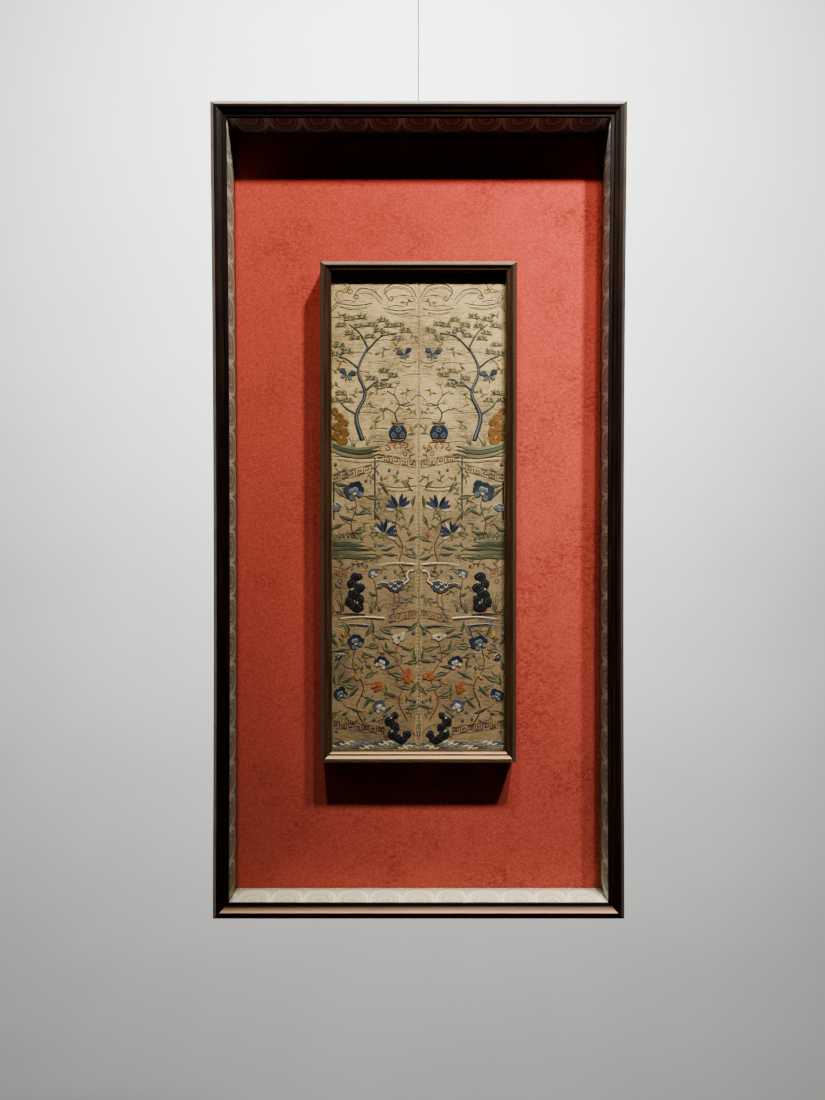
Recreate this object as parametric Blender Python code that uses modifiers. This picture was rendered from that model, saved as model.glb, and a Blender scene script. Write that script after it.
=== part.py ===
"""A pair of embroidered silk sleeve bands in a small dark wooden frame, set inside a deep shadow box
with a red cloth back and brocade slips, which hangs from one twisted steel wire.
Metres, +Z up, the front faces -Y. The origin is the middle of the eye at the top of the wire."""

import bpy
import bmesh
import math
from mathutils import Vector

MM = 0.001
GAP = 0.3 * MM

# Driving sizes, in millimetres until they are scaled.
BOX_WIDTH = 460 * MM
BOX_HEIGHT = 907 * MM
BOX_DEPTH = 62 * MM
SIDE_BOW = 2.2 * MM
SIDE_THICKNESS = 12.6 * MM
MOULDING_WIDTH = 18.0 * MM
LIP_DEPTH = 5.4 * MM

WIRE_RISE = 170 * MM
WIRE_DEPTH = 55.5 * MM
WIRE_DIAMETER = 1.5 * MM

SLIP_BACK = 40 * MM
SLIP_SPLAY = 0.6 * MM
RED_CLOTH_THICKNESS = 1.4 * MM
BACKBOARD_THICKNESS = 5 * MM

INNER_WIDTH = 220 * MM
INNER_HEIGHT = 562 * MM
INNER_FRONT = 10.3 * MM
INNER_SIDE = 9.2 * MM
INNER_MOULDING = 12 * MM
INNER_LIP_DEPTH = 10 * MM

BAND_THICKNESS = 1.6 * MM
BAND_BOARD_THICKNESS = 3 * MM

# Places that follow from them. Depth runs from the crest of the outer moulding towards the wall.
BOX_TOP = -WIRE_RISE
BOX_MIDDLE = BOX_TOP - BOX_HEIGHT / 2
RED_CLOTH_FRONT = SLIP_BACK + GAP
BACKBOARD_FRONT = RED_CLOTH_FRONT + RED_CLOTH_THICKNESS + GAP
BACKBOARD_BACK = BACKBOARD_FRONT + BACKBOARD_THICKNESS


def y_at(depth):
    """The Y of a depth behind the crest; the wire hangs at Y = 0."""
    return depth - WIRE_DEPTH


def clear_scene():
    for old in list(bpy.data.objects):
        bpy.data.objects.remove(old, do_unlink=True)


def new_collection(name):
    made = bpy.data.collections.new(name)
    bpy.context.scene.collection.children.link(made)
    return made


def material(name, colour, roughness, metallic=0.0):
    made = bpy.data.materials.new(name)
    made.use_nodes = True
    shader = made.node_tree.nodes["Principled BSDF"]
    shader.inputs["Base Color"].default_value = (*colour, 1.0)
    shader.inputs["Roughness"].default_value = roughness
    shader.inputs["Metallic"].default_value = metallic
    return made


def add_mesh(name, bm, finish, collection):
    """Makes a bmesh an object, with its faces pointing out."""
    bmesh.ops.recalc_face_normals(bm, faces=bm.faces)
    if bm.calc_volume(signed=True) < 0:
        bmesh.ops.reverse_faces(bm, faces=bm.faces)
    mesh = bpy.data.meshes.new(name)
    bm.to_mesh(mesh)
    bm.free()
    obj = bpy.data.objects.new(name, mesh)
    obj.data.materials.append(finish)
    collection.objects.link(obj)
    return obj


def arc(centre, radius, start, end, steps):
    """Points on a circle in the (inward, depth) plane. Angles are in degrees, 0 along inward, 90 along depth."""
    points = []
    for step in range(steps + 1):
        angle = math.radians(start + (end - start) * step / steps)
        points.append((centre[0] + radius * math.cos(angle), centre[1] + radius * math.sin(angle)))
    return points


def moulding_profile(bevel, face, edge, lip_depth, side, back):
    """The closed section of a stepped moulding on a box side, as (inward, depth) points in millimetres.

    It runs from the outer bevel over the flat crest and the steps of the face, round the sight edge, and
    back along the underside of the lip to the inner side of the box."""
    radius = 1.0
    nose = 0.9
    points = [(0.0, back), (0.0, bevel * 0.95), (bevel * 0.12, bevel * 0.78)]
    points += arc((bevel + 0.4, radius), radius, 225, 270, 3)
    points += face
    points += arc((edge - nose, face[-1][1] + nose), nose, 270, 360, 4)
    points += [(edge, lip_depth), (side, lip_depth), (side, back)]
    return points


def mitred_rail(name, profile, length, side, middle, finish, collection, depth_start, bow):
    """Extrudes a section along one side of a frame and cuts both ends to 45 degrees.

    length is the outer length of that side, side is top, bottom, left or right, and middle is (x, z) of the
    middle of that side's outer edge. A rail with a bow bends that far inwards at its middle."""
    bm = bmesh.new()
    verts = [bm.verts.new((0.0, depth * MM, inward * MM)) for inward, depth in profile]
    face = bm.faces.new(verts)
    extruded = bmesh.ops.extrude_face_region(bm, geom=[face])
    far = {v for v in extruded["geom"] if isinstance(v, bmesh.types.BMVert)}
    cut = 0.22 * MM
    for vert in bm.verts:
        reach = length / 2 - vert.co.z - cut
        vert.co.x = reach if vert in far else -reach
    if bow:
        long_edges = [edge for edge in bm.edges if (edge.verts[0] in far) != (edge.verts[1] in far)]
        bmesh.ops.subdivide_edges(bm, edges=long_edges, cuts=11)
        straight_end = 30 * MM
        for vert in bm.verts:
            share = vert.co.x / (length / 2 - straight_end)
            vert.co.z += bow * max(0.0, 1 - share * share)
    turned = {"bottom": (1, 0), "left": (0, 1), "top": (-1, 0), "right": (0, -1)}[side]
    inward_way = Vector((-turned[1], turned[0]))
    if side in ("left", "right"):
        inward_way = Vector((turned[1], 0))
    for vert in bm.verts:
        along, depth, inward = vert.co
        x = middle[0] + turned[0] * along + inward_way[0] * inward
        z = middle[1] + turned[1] * along + inward_way[1] * inward
        vert.co = (x, y_at(depth_start + depth), z)
    return add_mesh(name, bm, finish, collection)


def four_rails(prefix, profile, width, height, finish, collection, depth_start=0.0, bow=0.0):
    """One rail for each side of a rectangular frame whose outer size is width by height."""
    made = []
    for side, length, middle, bend in (
        ("top", width, (0.0, BOX_MIDDLE + height / 2), 0.0),
        ("bottom", width, (0.0, BOX_MIDDLE - height / 2), 0.0),
        ("left", height, (-width / 2, BOX_MIDDLE), bow),
        ("right", height, (width / 2, BOX_MIDDLE), bow),
    ):
        made.append(mitred_rail(f"{prefix}_{side}", profile, length, side, middle, finish, collection,
                                depth_start, bend))
    return made


def box(name, low, high, finish, collection, bevel=0.0):
    """A block between two corners, with its edges rounded where bevel is given."""
    bm = bmesh.new()
    bmesh.ops.create_cube(bm, size=1.0)
    for vert in bm.verts:
        for axis in range(3):
            vert.co[axis] = high[axis] if vert.co[axis] > 0 else low[axis]
    obj = add_mesh(name, bm, finish, collection)
    if bevel:
        rounding = obj.modifiers.new("Rounded edges", "BEVEL")
        rounding.width = bevel
        rounding.segments = 2
    return obj


def cylinder(bm, radius, start, end, sides=20):
    """Adds a capped cylinder between two points to a bmesh."""
    start, end = Vector(start), Vector(end)
    way = end - start
    turn = way.to_track_quat("Z", "Y").to_matrix().to_4x4()
    turn.translation = (start + end) / 2
    bmesh.ops.create_cone(bm, cap_ends=True, segments=sides, radius1=radius, radius2=radius, depth=way.length,
                          matrix=turn)


def joined(obj, other):
    """Unites other into obj and removes it."""
    union = obj.modifiers.new("Join " + other.name, "BOOLEAN")
    union.operation = "UNION"
    union.solver = "EXACT"
    union.object = other
    graph = bpy.context.evaluated_depsgraph_get()
    mesh = bpy.data.meshes.new_from_object(obj.evaluated_get(graph))
    obj.modifiers.clear()
    obj.data = mesh
    bpy.data.objects.remove(other, do_unlink=True)
    return obj


def wooden_frames(wood, box_parts):
    """The deep outer frame and the smaller frame round the silk, each of four mitred rails."""
    outer_face = [(7.7, 0.0), (8.2, 0.12), (8.9, 0.5), (10.1, 1.25), (11.6, 1.75), (13.0, 2.1), (13.4, 2.5),
                  (13.9, 3.3), (14.3, 3.6)]
    outer = moulding_profile(bevel=4.2, face=outer_face, edge=MOULDING_WIDTH / MM, lip_depth=LIP_DEPTH / MM,
                             side=SIDE_THICKNESS / MM, back=BOX_DEPTH / MM)
    rails = four_rails("outer_rail", outer, BOX_WIDTH, BOX_HEIGHT, wood, box_parts, bow=SIDE_BOW)
    inner_back = (SLIP_BACK - INNER_FRONT) / MM
    inner_face = [(4.9, 0.0), (5.4, 0.2), (6.8, 1.0), (8.2, 1.8), (8.6, 2.0), (10.0, 2.1), (10.4, 2.4),
                  (11.0, 3.2)]
    inner = moulding_profile(bevel=4.2, face=inner_face, edge=INNER_MOULDING / MM,
                             lip_depth=INNER_LIP_DEPTH / MM, side=INNER_SIDE / MM, back=inner_back)
    four_rails("inner_rail", inner, INNER_WIDTH, INNER_HEIGHT, wood, box_parts, INNER_FRONT)
    return rails


def wire_notch(top_rail, cutters):
    """A notch in the back of the top rail, so that the box lies flat on the wall over the wire."""
    width = 7 * MM
    depth = 11 * MM
    spare = 3 * MM
    back = y_at(BOX_DEPTH)
    low = (-width / 2, back - depth, BOX_TOP - SIDE_THICKNESS - spare)
    high = (width / 2, back + spare, BOX_TOP + spare)
    cutter = box("wire_notch_cutter", low, high, top_rail.data.materials[0], cutters)
    cutter.hide_render = True
    cutter.display_type = "WIRE"
    notch = top_rail.modifiers.new("Wire notch", "BOOLEAN")
    notch.operation = "DIFFERENCE"
    notch.solver = "EXACT"
    notch.object = cutter


def brocade_slips(brocade, box_parts):
    """Four mitred boards under brocade, which line the box from the moulding's lip back to the red cloth."""
    outer_face = SIDE_THICKNESS / MM + 0.3
    front_edge = MOULDING_WIDTH / MM + 0.2
    back_edge = front_edge + SLIP_SPLAY / MM
    front = LIP_DEPTH / MM + 0.3
    back = SLIP_BACK / MM
    nose = 0.8
    profile = [(outer_face, back), (outer_face, front)]
    profile += arc((front_edge - nose, front + nose), nose, 270, 355, 3)
    profile += [(back_edge, back)]
    four_rails("brocade_slip", profile, BOX_WIDTH, BOX_HEIGHT, brocade, box_parts, bow=SIDE_BOW)


def cloth_panel(name, width, height, centre_x, front, thickness, mirror, finish, collection):
    """A stretched cloth as a thin closed slab whose face swells and sinks a little between its flat edges.

    mirror is 1 or -1, so that the two bands of a pair are each other's mirror image."""
    swell = 0.12 * MM
    cell = 30 * MM
    margin = 0.03
    bm = bmesh.new()
    bmesh.ops.create_grid(bm, x_segments=round(width / cell), y_segments=round(height / cell), size=0.5)
    for vert in bm.verts:
        across, up = vert.co.x * mirror, vert.co.y
        edge = min(0.5 - abs(across), 0.5 - abs(up))
        ripple = math.sin(9 * across + 3 * up) * math.cos(14 * up - 2 * across) if edge > margin else 0.0
        vert.co = (centre_x + vert.co.x * width, y_at(front) + swell * (1 + ripple), BOX_MIDDLE + up * height)
    obj = add_mesh(name, bm, finish, collection)
    if obj.data.polygons[0].normal.y > 0:
        obj.data.flip_normals()
    shell = obj.modifiers.new("Cloth thickness", "SOLIDIFY")
    shell.thickness = thickness - 2 * swell
    shell.offset = -1.0
    return obj


def cloths_and_boards(red, silk, plain_wood, linen, box_parts):
    """The red cloth with its backboard, and the two silk bands on the board that carries them."""
    width = BOX_WIDTH - 2 * (SIDE_THICKNESS + SIDE_BOW + GAP)
    height = BOX_HEIGHT - 2 * SIDE_THICKNESS - 2 * GAP
    cloth_panel("red_cloth", width, height, 0.0, RED_CLOTH_FRONT, RED_CLOTH_THICKNESS, 1, red, box_parts)
    box("backboard", (-width / 2, y_at(BACKBOARD_FRONT), BOX_MIDDLE - height / 2),
        (width / 2, y_at(BACKBOARD_BACK), BOX_MIDDLE + height / 2), plain_wood, box_parts)

    band_front = INNER_FRONT + INNER_LIP_DEPTH + GAP
    pair_width = INNER_WIDTH - 2 * INNER_SIDE - 2 * GAP
    band_width = (pair_width - GAP) / 2
    band_height = INNER_HEIGHT - 2 * INNER_SIDE - 2 * GAP
    for name, way in (("band_left", -1), ("band_right", 1)):
        cloth_panel(name, band_width, band_height, way * (band_width + GAP) / 2, band_front, BAND_THICKNESS, way,
                    silk, box_parts)
    board_front = band_front + BAND_THICKNESS + GAP
    box("band_board", (-pair_width / 2, y_at(board_front), BOX_MIDDLE - band_height / 2),
        (pair_width / 2, y_at(board_front + BAND_BOARD_THICKNESS), BOX_MIDDLE + band_height / 2), linen, box_parts)


def hanger(steel, box_parts):
    """A screwed plate on the backboard, with a barrel that grips the wire's lower end. Returns the barrel's top."""
    plate_width = 18 * MM
    plate_height = 46 * MM
    plate_thickness = 1.8 * MM
    barrel_radius = 2.6 * MM
    barrel_length = 15 * MM
    screw_offset = 13 * MM
    top = BOX_TOP - SIDE_THICKNESS - 6 * MM
    plate_front = y_at(BACKBOARD_BACK + GAP)
    plate_back = plate_front + plate_thickness
    plate_middle = top - plate_height / 2
    plate = box("hanger_plate", (-plate_width / 2, plate_front, top - plate_height),
                (plate_width / 2, plate_back, top), steel, box_parts, bevel=0.5 * MM)
    post_bm = bmesh.new()
    cylinder(post_bm, barrel_radius * 0.9, (0, plate_back - 0.6 * MM, plate_middle), (0, 0, plate_middle), 16)
    post = add_mesh("hanger_post", post_bm, steel, box_parts)
    joined(plate, post)
    barrel_bm = bmesh.new()
    cylinder(barrel_bm, barrel_radius, (0, 0, plate_middle - barrel_length / 2),
             (0, 0, plate_middle + barrel_length / 2))
    barrel = add_mesh("hanger_barrel", barrel_bm, steel, box_parts)
    joined(plate, barrel)
    for number, way in ((1, 1), (2, -1)):
        screw_bm = bmesh.new()
        head_z = plate_middle + way * screw_offset
        bmesh.ops.create_uvsphere(screw_bm, u_segments=18, v_segments=10, radius=3.4 * MM)
        flat = bmesh.ops.bisect_plane(screw_bm, geom=screw_bm.verts[:] + screw_bm.edges[:] + screw_bm.faces[:],
                                      plane_co=(0, 0, 0), plane_no=(0, 0, -1), clear_outer=True)
        rim = [edge for edge in flat["geom_cut"] if isinstance(edge, bmesh.types.BMEdge)]
        bmesh.ops.contextual_create(screw_bm, geom=rim)
        for vert in screw_bm.verts:
            across, up, out = vert.co
            vert.co = (across, plate_back + GAP + out * 0.55, head_z + up)
        screw = add_mesh(f"hanger_screw_{number}", screw_bm, steel, box_parts)
        screw.data.shade_smooth()
    return plate_middle + barrel_length / 2


def hanging_wire(start_z, steel, box_parts):
    """The taut wire from the hanger's barrel up to the swaged sleeve of its eye, whose middle is the origin."""
    eye_radius = 5.8 * MM
    eye_thickness = 1.15 * MM
    sleeve_radius = 1.9 * MM
    sleeve_top = -eye_radius + 0.6 * MM
    sleeve_length = 12 * MM
    ring_bm = bmesh.new()
    section = [ring_bm.verts.new((eye_radius + eye_thickness * math.cos(math.tau * step / 10),
                                  0.0, eye_thickness * math.sin(math.tau * step / 10))) for step in range(10)]
    loop = [ring_bm.edges.new((section[step - 1], section[step])) for step in range(10)]
    bmesh.ops.spin(ring_bm, geom=section + loop, cent=(0, 0, 0), axis=(0, 0, 1), angle=math.tau, steps=36,
                   use_merge=True)
    for vert in ring_bm.verts:
        across, up, out = vert.co
        vert.co = (across, out, up)
    eye = add_mesh("wire_eye", ring_bm, steel, box_parts)
    sleeve_bm = bmesh.new()
    cylinder(sleeve_bm, sleeve_radius, (0, 0, sleeve_top - sleeve_length), (0, 0, sleeve_top))
    sleeve = add_mesh("wire_sleeve", sleeve_bm, steel, box_parts)
    joined(eye, sleeve)

    route = [(0.0, 0.0, start_z + GAP), (0.0, 0.0, sleeve_top - sleeve_length - GAP)]
    length = route[1][2] - route[0][2]
    count = round(length / (2.8 * WIRE_DIAMETER)) + 1
    curve = bpy.data.curves.new("wire", "CURVE")
    curve.dimensions = "3D"
    curve.bevel_depth = WIRE_DIAMETER / 2
    curve.bevel_resolution = 2
    curve.use_fill_caps = True
    line = curve.splines.new("POLY")
    line.points.add(count - 1)
    for step, point in enumerate(line.points):
        point.co = (0.0, 0.0, route[0][2] + length * step / (count - 1), 1.0)
    wire = bpy.data.objects.new("wire", curve)
    wire.data.materials.append(steel)
    box_parts.objects.link(wire)


clear_scene()
screen_parts = new_collection("embroidered hanging screen")
cutter_parts = new_collection("cutters")
dark_wood = material("dark rosewood", (0.035, 0.014, 0.009), 0.32)
ivory_brocade = material("ivory brocade", (0.62, 0.52, 0.36), 0.62)
red_suede = material("red suede cloth", (0.46, 0.085, 0.055), 0.95)
beige_silk = material("embroidered silk", (0.60, 0.45, 0.27), 0.55)
plain_ply = material("plain backboard", (0.42, 0.28, 0.16), 0.8)
linen_board = material("linen board", (0.55, 0.47, 0.36), 0.9)
steel_wire = material("twisted steel", (0.35, 0.34, 0.33), 0.38, 1.0)

outer_rails = wooden_frames(dark_wood, screen_parts)
wire_notch(outer_rails[0], cutter_parts)
brocade_slips(ivory_brocade, screen_parts)
cloths_and_boards(red_suede, beige_silk, plain_ply, linen_board, screen_parts)
barrel_top = hanger(steel_wire, screen_parts)
hanging_wire(barrel_top, steel_wire, screen_parts)
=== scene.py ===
"""The looks of the embroidered hanging screen: two silk sleeve bands in a small dark frame, inside a deep
dark shadow box with brocade slips and a red suede cloth, hung from one twisted steel wire."""

import math
import random

import bmesh
import bpy
from mathutils import Matrix, Vector, geometry, noise


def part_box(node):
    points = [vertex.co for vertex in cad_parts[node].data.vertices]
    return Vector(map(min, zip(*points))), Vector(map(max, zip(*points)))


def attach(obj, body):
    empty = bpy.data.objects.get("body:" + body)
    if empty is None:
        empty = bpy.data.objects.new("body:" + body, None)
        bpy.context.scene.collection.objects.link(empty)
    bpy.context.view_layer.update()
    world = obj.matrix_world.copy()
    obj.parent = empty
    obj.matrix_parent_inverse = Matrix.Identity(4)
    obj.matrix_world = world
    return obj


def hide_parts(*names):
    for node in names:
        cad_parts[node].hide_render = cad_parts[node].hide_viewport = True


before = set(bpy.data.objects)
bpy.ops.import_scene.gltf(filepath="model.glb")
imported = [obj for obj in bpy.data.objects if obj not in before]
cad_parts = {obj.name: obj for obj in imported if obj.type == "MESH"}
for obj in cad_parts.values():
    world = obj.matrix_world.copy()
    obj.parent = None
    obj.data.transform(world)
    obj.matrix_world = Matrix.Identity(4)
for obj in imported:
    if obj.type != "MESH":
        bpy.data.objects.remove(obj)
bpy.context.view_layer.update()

MM = 0.001


# The camera stands a little under a metre in front of the box, a little below its middle, with a wide lens,
# and looks very slightly down.
box_low, box_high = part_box("outer_rail_left")
box_middle = (box_low[2] + box_high[2]) / 2
front_y = box_low[1]
camera_away = 913 * MM
camera_below_middle = 28.5 * MM
looks_down = math.radians(0.81)

camera_data = bpy.data.cameras.new("camera")
camera_data.lens = 27.03
camera_data.sensor_width = 36.0
camera_data.clip_start = 0.02
camera = bpy.data.objects.new("camera", camera_data)
camera.location = (-6.8 * MM, front_y - camera_away, box_middle - camera_below_middle)
camera.rotation_euler = (math.radians(90) - looks_down, 0.0, 0.0)
bpy.context.scene.collection.objects.link(camera)
bpy.context.scene.camera = camera


# The hanging wire is twisted from four steel strands. It is gripped in the barrel of the hanger, passes
# the notch in the top rail and ends in a swaged eye. Wire, eye, hanger and screws are bare steel.
class Output:
    """What a node puts out, a number or a colour. Sums and products of outputs are nodes as well."""

    def __init__(self, tree, socket):
        self.tree = tree
        self.socket = socket

    def math(self, operation, *others):
        node = make(self.tree, "Math", dict(enumerate((self, *others))), operation=operation)
        return Output(self.tree, node.outputs[0])

    def __add__(self, other):
        return self.math("ADD", other)

    def __sub__(self, other):
        return self.math("SUBTRACT", other)

    def __mul__(self, other):
        return self.math("MULTIPLY", other)

    def __truediv__(self, other):
        return self.math("DIVIDE", other)


def put(inputs, values):
    """Fills inputs by their names or numbers; each value is a number, a triple or an output."""
    for key, value in values.items():
        socket = inputs[key]
        if isinstance(value, Output):
            value.tree.links.new(value.socket, socket)
        elif isinstance(value, tuple) and socket.type == "RGBA":
            socket.default_value = (*value, 1.0)
        else:
            socket.default_value = value


def make(tree, kind, values, **settings):
    """A new node with its settings and the values of its inputs."""
    node = tree.nodes.new(f"ShaderNode{kind}")
    for name, setting in settings.items():
        setattr(node, name, setting)
    put(node.inputs, values)
    return node


def noise_node(vector, scale, detail=3.0, roughness=0.5):
    values = {"Vector": vector, "Scale": scale, "Detail": detail, "Roughness": roughness}
    return Output(vector.tree, make(vector.tree, "TexNoise", values).outputs["Fac"])


def mapped(vector, scale=(1.0, 1.0, 1.0), turn=(0.0, 0.0, 0.0)):
    node = make(vector.tree, "Mapping", {"Vector": vector, "Scale": scale, "Rotation": turn})
    return Output(vector.tree, node.outputs["Vector"])


def coordinate(tree, source="Object"):
    """Where a point lies on the piece, in metres, or another of its coordinates."""
    return Output(tree, make(tree, "TexCoord", {}).outputs[source])


def ramp_node(value, *stops):
    """A colour ramp; each stop is (position, colour), and a single number stands for a grey."""
    node = make(value.tree, "ValToRGB", {"Fac": value})
    ramp = node.color_ramp
    while len(ramp.elements) < len(stops):
        ramp.elements.new(0.5)
    for element, (position, colour) in zip(ramp.elements, stops):
        element.position = position
        element.color = (*colour, 1.0) if isinstance(colour, tuple) else (colour, colour, colour, 1.0)
    return Output(value.tree, node.outputs["Color"])


def principled(name, colour, roughness, metallic=0.0):
    """A new material, its node tree and the inputs of its Principled shader."""
    made = bpy.data.materials.new(name)
    made.use_nodes = True
    inputs = made.node_tree.nodes["Principled BSDF"].inputs
    put(inputs, {"Base Color": colour, "Roughness": roughness, "Metallic": metallic})
    return made, made.node_tree, inputs


def bumped(inputs, height, strength, distance):
    node = make(height.tree, "Bump", {"Height": height, "Strength": strength, "Distance": distance})
    put(inputs, {"Normal": Output(height.tree, node.outputs["Normal"])})


def piece_from(bm, name, finish):
    """Makes a bmesh a finished piece on the one body."""
    mesh = bpy.data.meshes.new(name)
    bm.to_mesh(mesh)
    bm.free()
    piece = bpy.data.objects.new(name, mesh)
    bpy.context.scene.collection.objects.link(piece)
    mesh.materials.append(finish)
    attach(piece, "root")
    return piece


def refinish(node, finish):
    """Gives a CAD node its finish in place of the plain one."""
    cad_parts[node].data.materials.clear()
    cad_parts[node].data.materials.append(finish)


def is_vert(item):
    return isinstance(item, bmesh.types.BMVert)


def steel_finish(name, colour, roughness):
    """Bare steel with small stains and a fine drawn grain along Z."""
    made, tree, inputs = principled(name, colour, roughness, 1.0)
    stain = noise_node(coordinate(tree), 220.0, 4.0)
    darker = tuple(part * 0.55 for part in colour)
    put(inputs, {"Base Color": ramp_node(stain, (0.35, darker), (0.65, colour))})
    grain = noise_node(mapped(coordinate(tree), (1.0, 1.0, 0.15)), 1800.0, 2.0)
    bumped(inputs, grain, 0.25, 0.05 * MM)
    return made


wire_steel = steel_finish("wire steel", (0.10, 0.095, 0.09), 0.42)
wire_low, wire_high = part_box("wire")
wire_radius = (wire_high[0] - wire_low[0]) / 2
wire_lobes = 4
wire_points = wire_lobes * 5
wire_pitch = 7 * MM
wire_rings = 420
wire_bm = bmesh.new()
first_ring = []
for step in range(wire_points):
    angle = math.tau * step / wire_points
    radius = wire_radius * (0.86 + 0.14 * math.cos(wire_lobes * angle))
    first_ring.append(wire_bm.verts.new((radius * math.cos(angle), radius * math.sin(angle), wire_low[2])))
live = list(wire_bm.faces.new(first_ring).edges)
ring_step = (wire_high[2] - wire_low[2]) / wire_rings
ring_turn = Matrix.Rotation(math.tau * ring_step / wire_pitch, 3, "Z")
for ring in range(wire_rings):
    grown = bmesh.ops.extrude_edge_only(wire_bm, edges=live)["geom"]
    live = [item for item in grown if isinstance(item, bmesh.types.BMEdge)]
    for vert in filter(is_vert, grown):
        vert.co = ring_turn @ vert.co + Vector((0.0, 0.0, ring_step))
bmesh.ops.contextual_create(wire_bm, geom=live)
bmesh.ops.recalc_face_normals(wire_bm, faces=wire_bm.faces)
wire = piece_from(wire_bm, "twisted_wire", wire_steel)
wire.data.shade_smooth()
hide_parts("wire")
refinish("wire_eye", wire_steel)

hanger_steel = steel_finish("zinc plated steel", (0.46, 0.45, 0.42), 0.42)
for node in ("hanger_plate", "hanger_screw_1", "hanger_screw_2"):
    refinish(node, hanger_steel)


# The rails of both frames are dark rosewood, almost black, planed to a stepped moulding, mitred and
# polished. The grain runs along each rail. The outer bevels are rubbed down to a pale dull bronze, with
# painted light in their tone side by side, and on the bottom rails what faces up carries a painted highlight.
def axis(vector, name):
    """One coordinate of a vector."""
    return Output(vector.tree, make(vector.tree, "SeparateXYZ", {"Vector": vector}).outputs[name])


def spread(value, low, high, to_low=0.0, to_high=1.0):
    """Takes the span from low to high to another one, and stops at its ends."""
    span = {"From Min": low, "From Max": high, "To Min": to_low, "To Max": to_high}
    return Output(value.tree, make(value.tree, "MapRange", {"Value": value, **span}).outputs["Result"])


def mixed(factor, first, second, blend="MIX"):
    """Mixes two colours; the first one is an output."""
    values = {"Factor": factor, "A": first, "B": second}
    node = make(first.tree, "Mix", values, data_type="RGBA", blend_type=blend)
    return Output(first.tree, node.outputs["Result"])


def new_group(name, outputs):
    """A node group that takes a vector; returns it with that vector and the inputs of its end."""
    group = bpy.data.node_groups.new(name, "ShaderNodeTree")
    group.interface.new_socket("Vector", in_out="INPUT", socket_type="NodeSocketVector")
    for output in outputs:
        group.interface.new_socket(output, in_out="OUTPUT", socket_type="NodeSocketFloat")
    start = group.nodes.new("NodeGroupInput")
    return group, Output(group, start.outputs["Vector"]), group.nodes.new("NodeGroupOutput").inputs


def group_node(group, vector):
    """A node of a group; returns its outputs by their names."""
    node = make(vector.tree, "Group", {}, node_tree=group)
    put(node.inputs, {"Vector": vector})
    return {name: Output(vector.tree, socket) for name, socket in node.outputs.items()}


wood_grain, grain_vector, grain_ends = new_group("wood grain", ("Streaks", "Height"))
stretched = mapped(grain_vector, (1.0, 1.0, 0.045))
streaks = noise_node(stretched, 260.0, 5.0, 0.6)
pores = (noise_node(stretched, 1500.0, 2.0) * 1.6).math("SMOOTH_MIN", 0.8, 0.1)
put(grain_ends, {"Streaks": streaks, "Height": streaks * 0.5 + pores})


def grain_node(tree, along):
    """The wood grain, turned to run along X or Z of the piece."""
    turn = (0.0, math.radians(90) if along == "X" else 0.0, 0.0)
    return group_node(wood_grain, mapped(coordinate(tree), turn=turn))


outward_ways = {
    "top": (0.0, 0.0, 1.0),
    "bottom": (0.0, 0.0, -1.0),
    "left": (-1.0, 0.0, 0.0),
    "right": (1.0, 0.0, 0.0),
}
polish = {"top": 0.3, "bottom": 0.6, "left": 0.6, "right": 0.5}
# Per side, each bevel tone is rubbed wear with painted light in it: pale where a bevel faces the lamps or the
# pale surroundings, dark on the right. The painted highlight colour and its steps go on the up-facing ledges
# of the bottom rails.
rail_looks = {
    "outer": {
        "wood": ((0.003, 0.0010, 0.0008), (0.007, 0.0024, 0.0015), (0.022, 0.0085, 0.0050)),
        "top": (0.34, 0.28, 0.22),
        "bottom": (0.30, 0.24, 0.19),
        "left": (0.38, 0.34, 0.31),
        "right": (0.058, 0.048, 0.040),
        "rubbed and lit edge": 5.2 * MM,
        "painted_highlight": (1.0, 0.55, 0.32),
        "steps": ((8.9, 1.2), (9.4, 0.82), (12.4, 0.90), (13.1, 0.0)),
    },
    "inner": {
        "wood": ((0.016, 0.0070, 0.0030), (0.032, 0.0145, 0.0068), (0.070, 0.0340, 0.0175)),
        "top": (0.20, 0.14, 0.096),
        "bottom": (0.48, 0.38, 0.28),
        "left": (0.115, 0.072, 0.046),
        "right": (0.050, 0.030, 0.019),
        "rubbed and lit edge": 5.4 * MM,
        "painted_highlight": (0.90, 0.54, 0.26),
        "steps": ((7.4, 1.0), (7.8, 0.22), (8.8, 0.22), (9.3, 0.92)),
    },
}


def facing_mask(tree, way, least, most):
    """1 where the surface faces the given way, 0 where it faces elsewhere."""
    values = {0: coordinate(tree, "Normal"), 1: way}
    facing = make(tree, "VectorMath", values, operation="DOT_PRODUCT")
    return spread(Output(tree, facing.outputs["Value"]), least, most)


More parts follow.
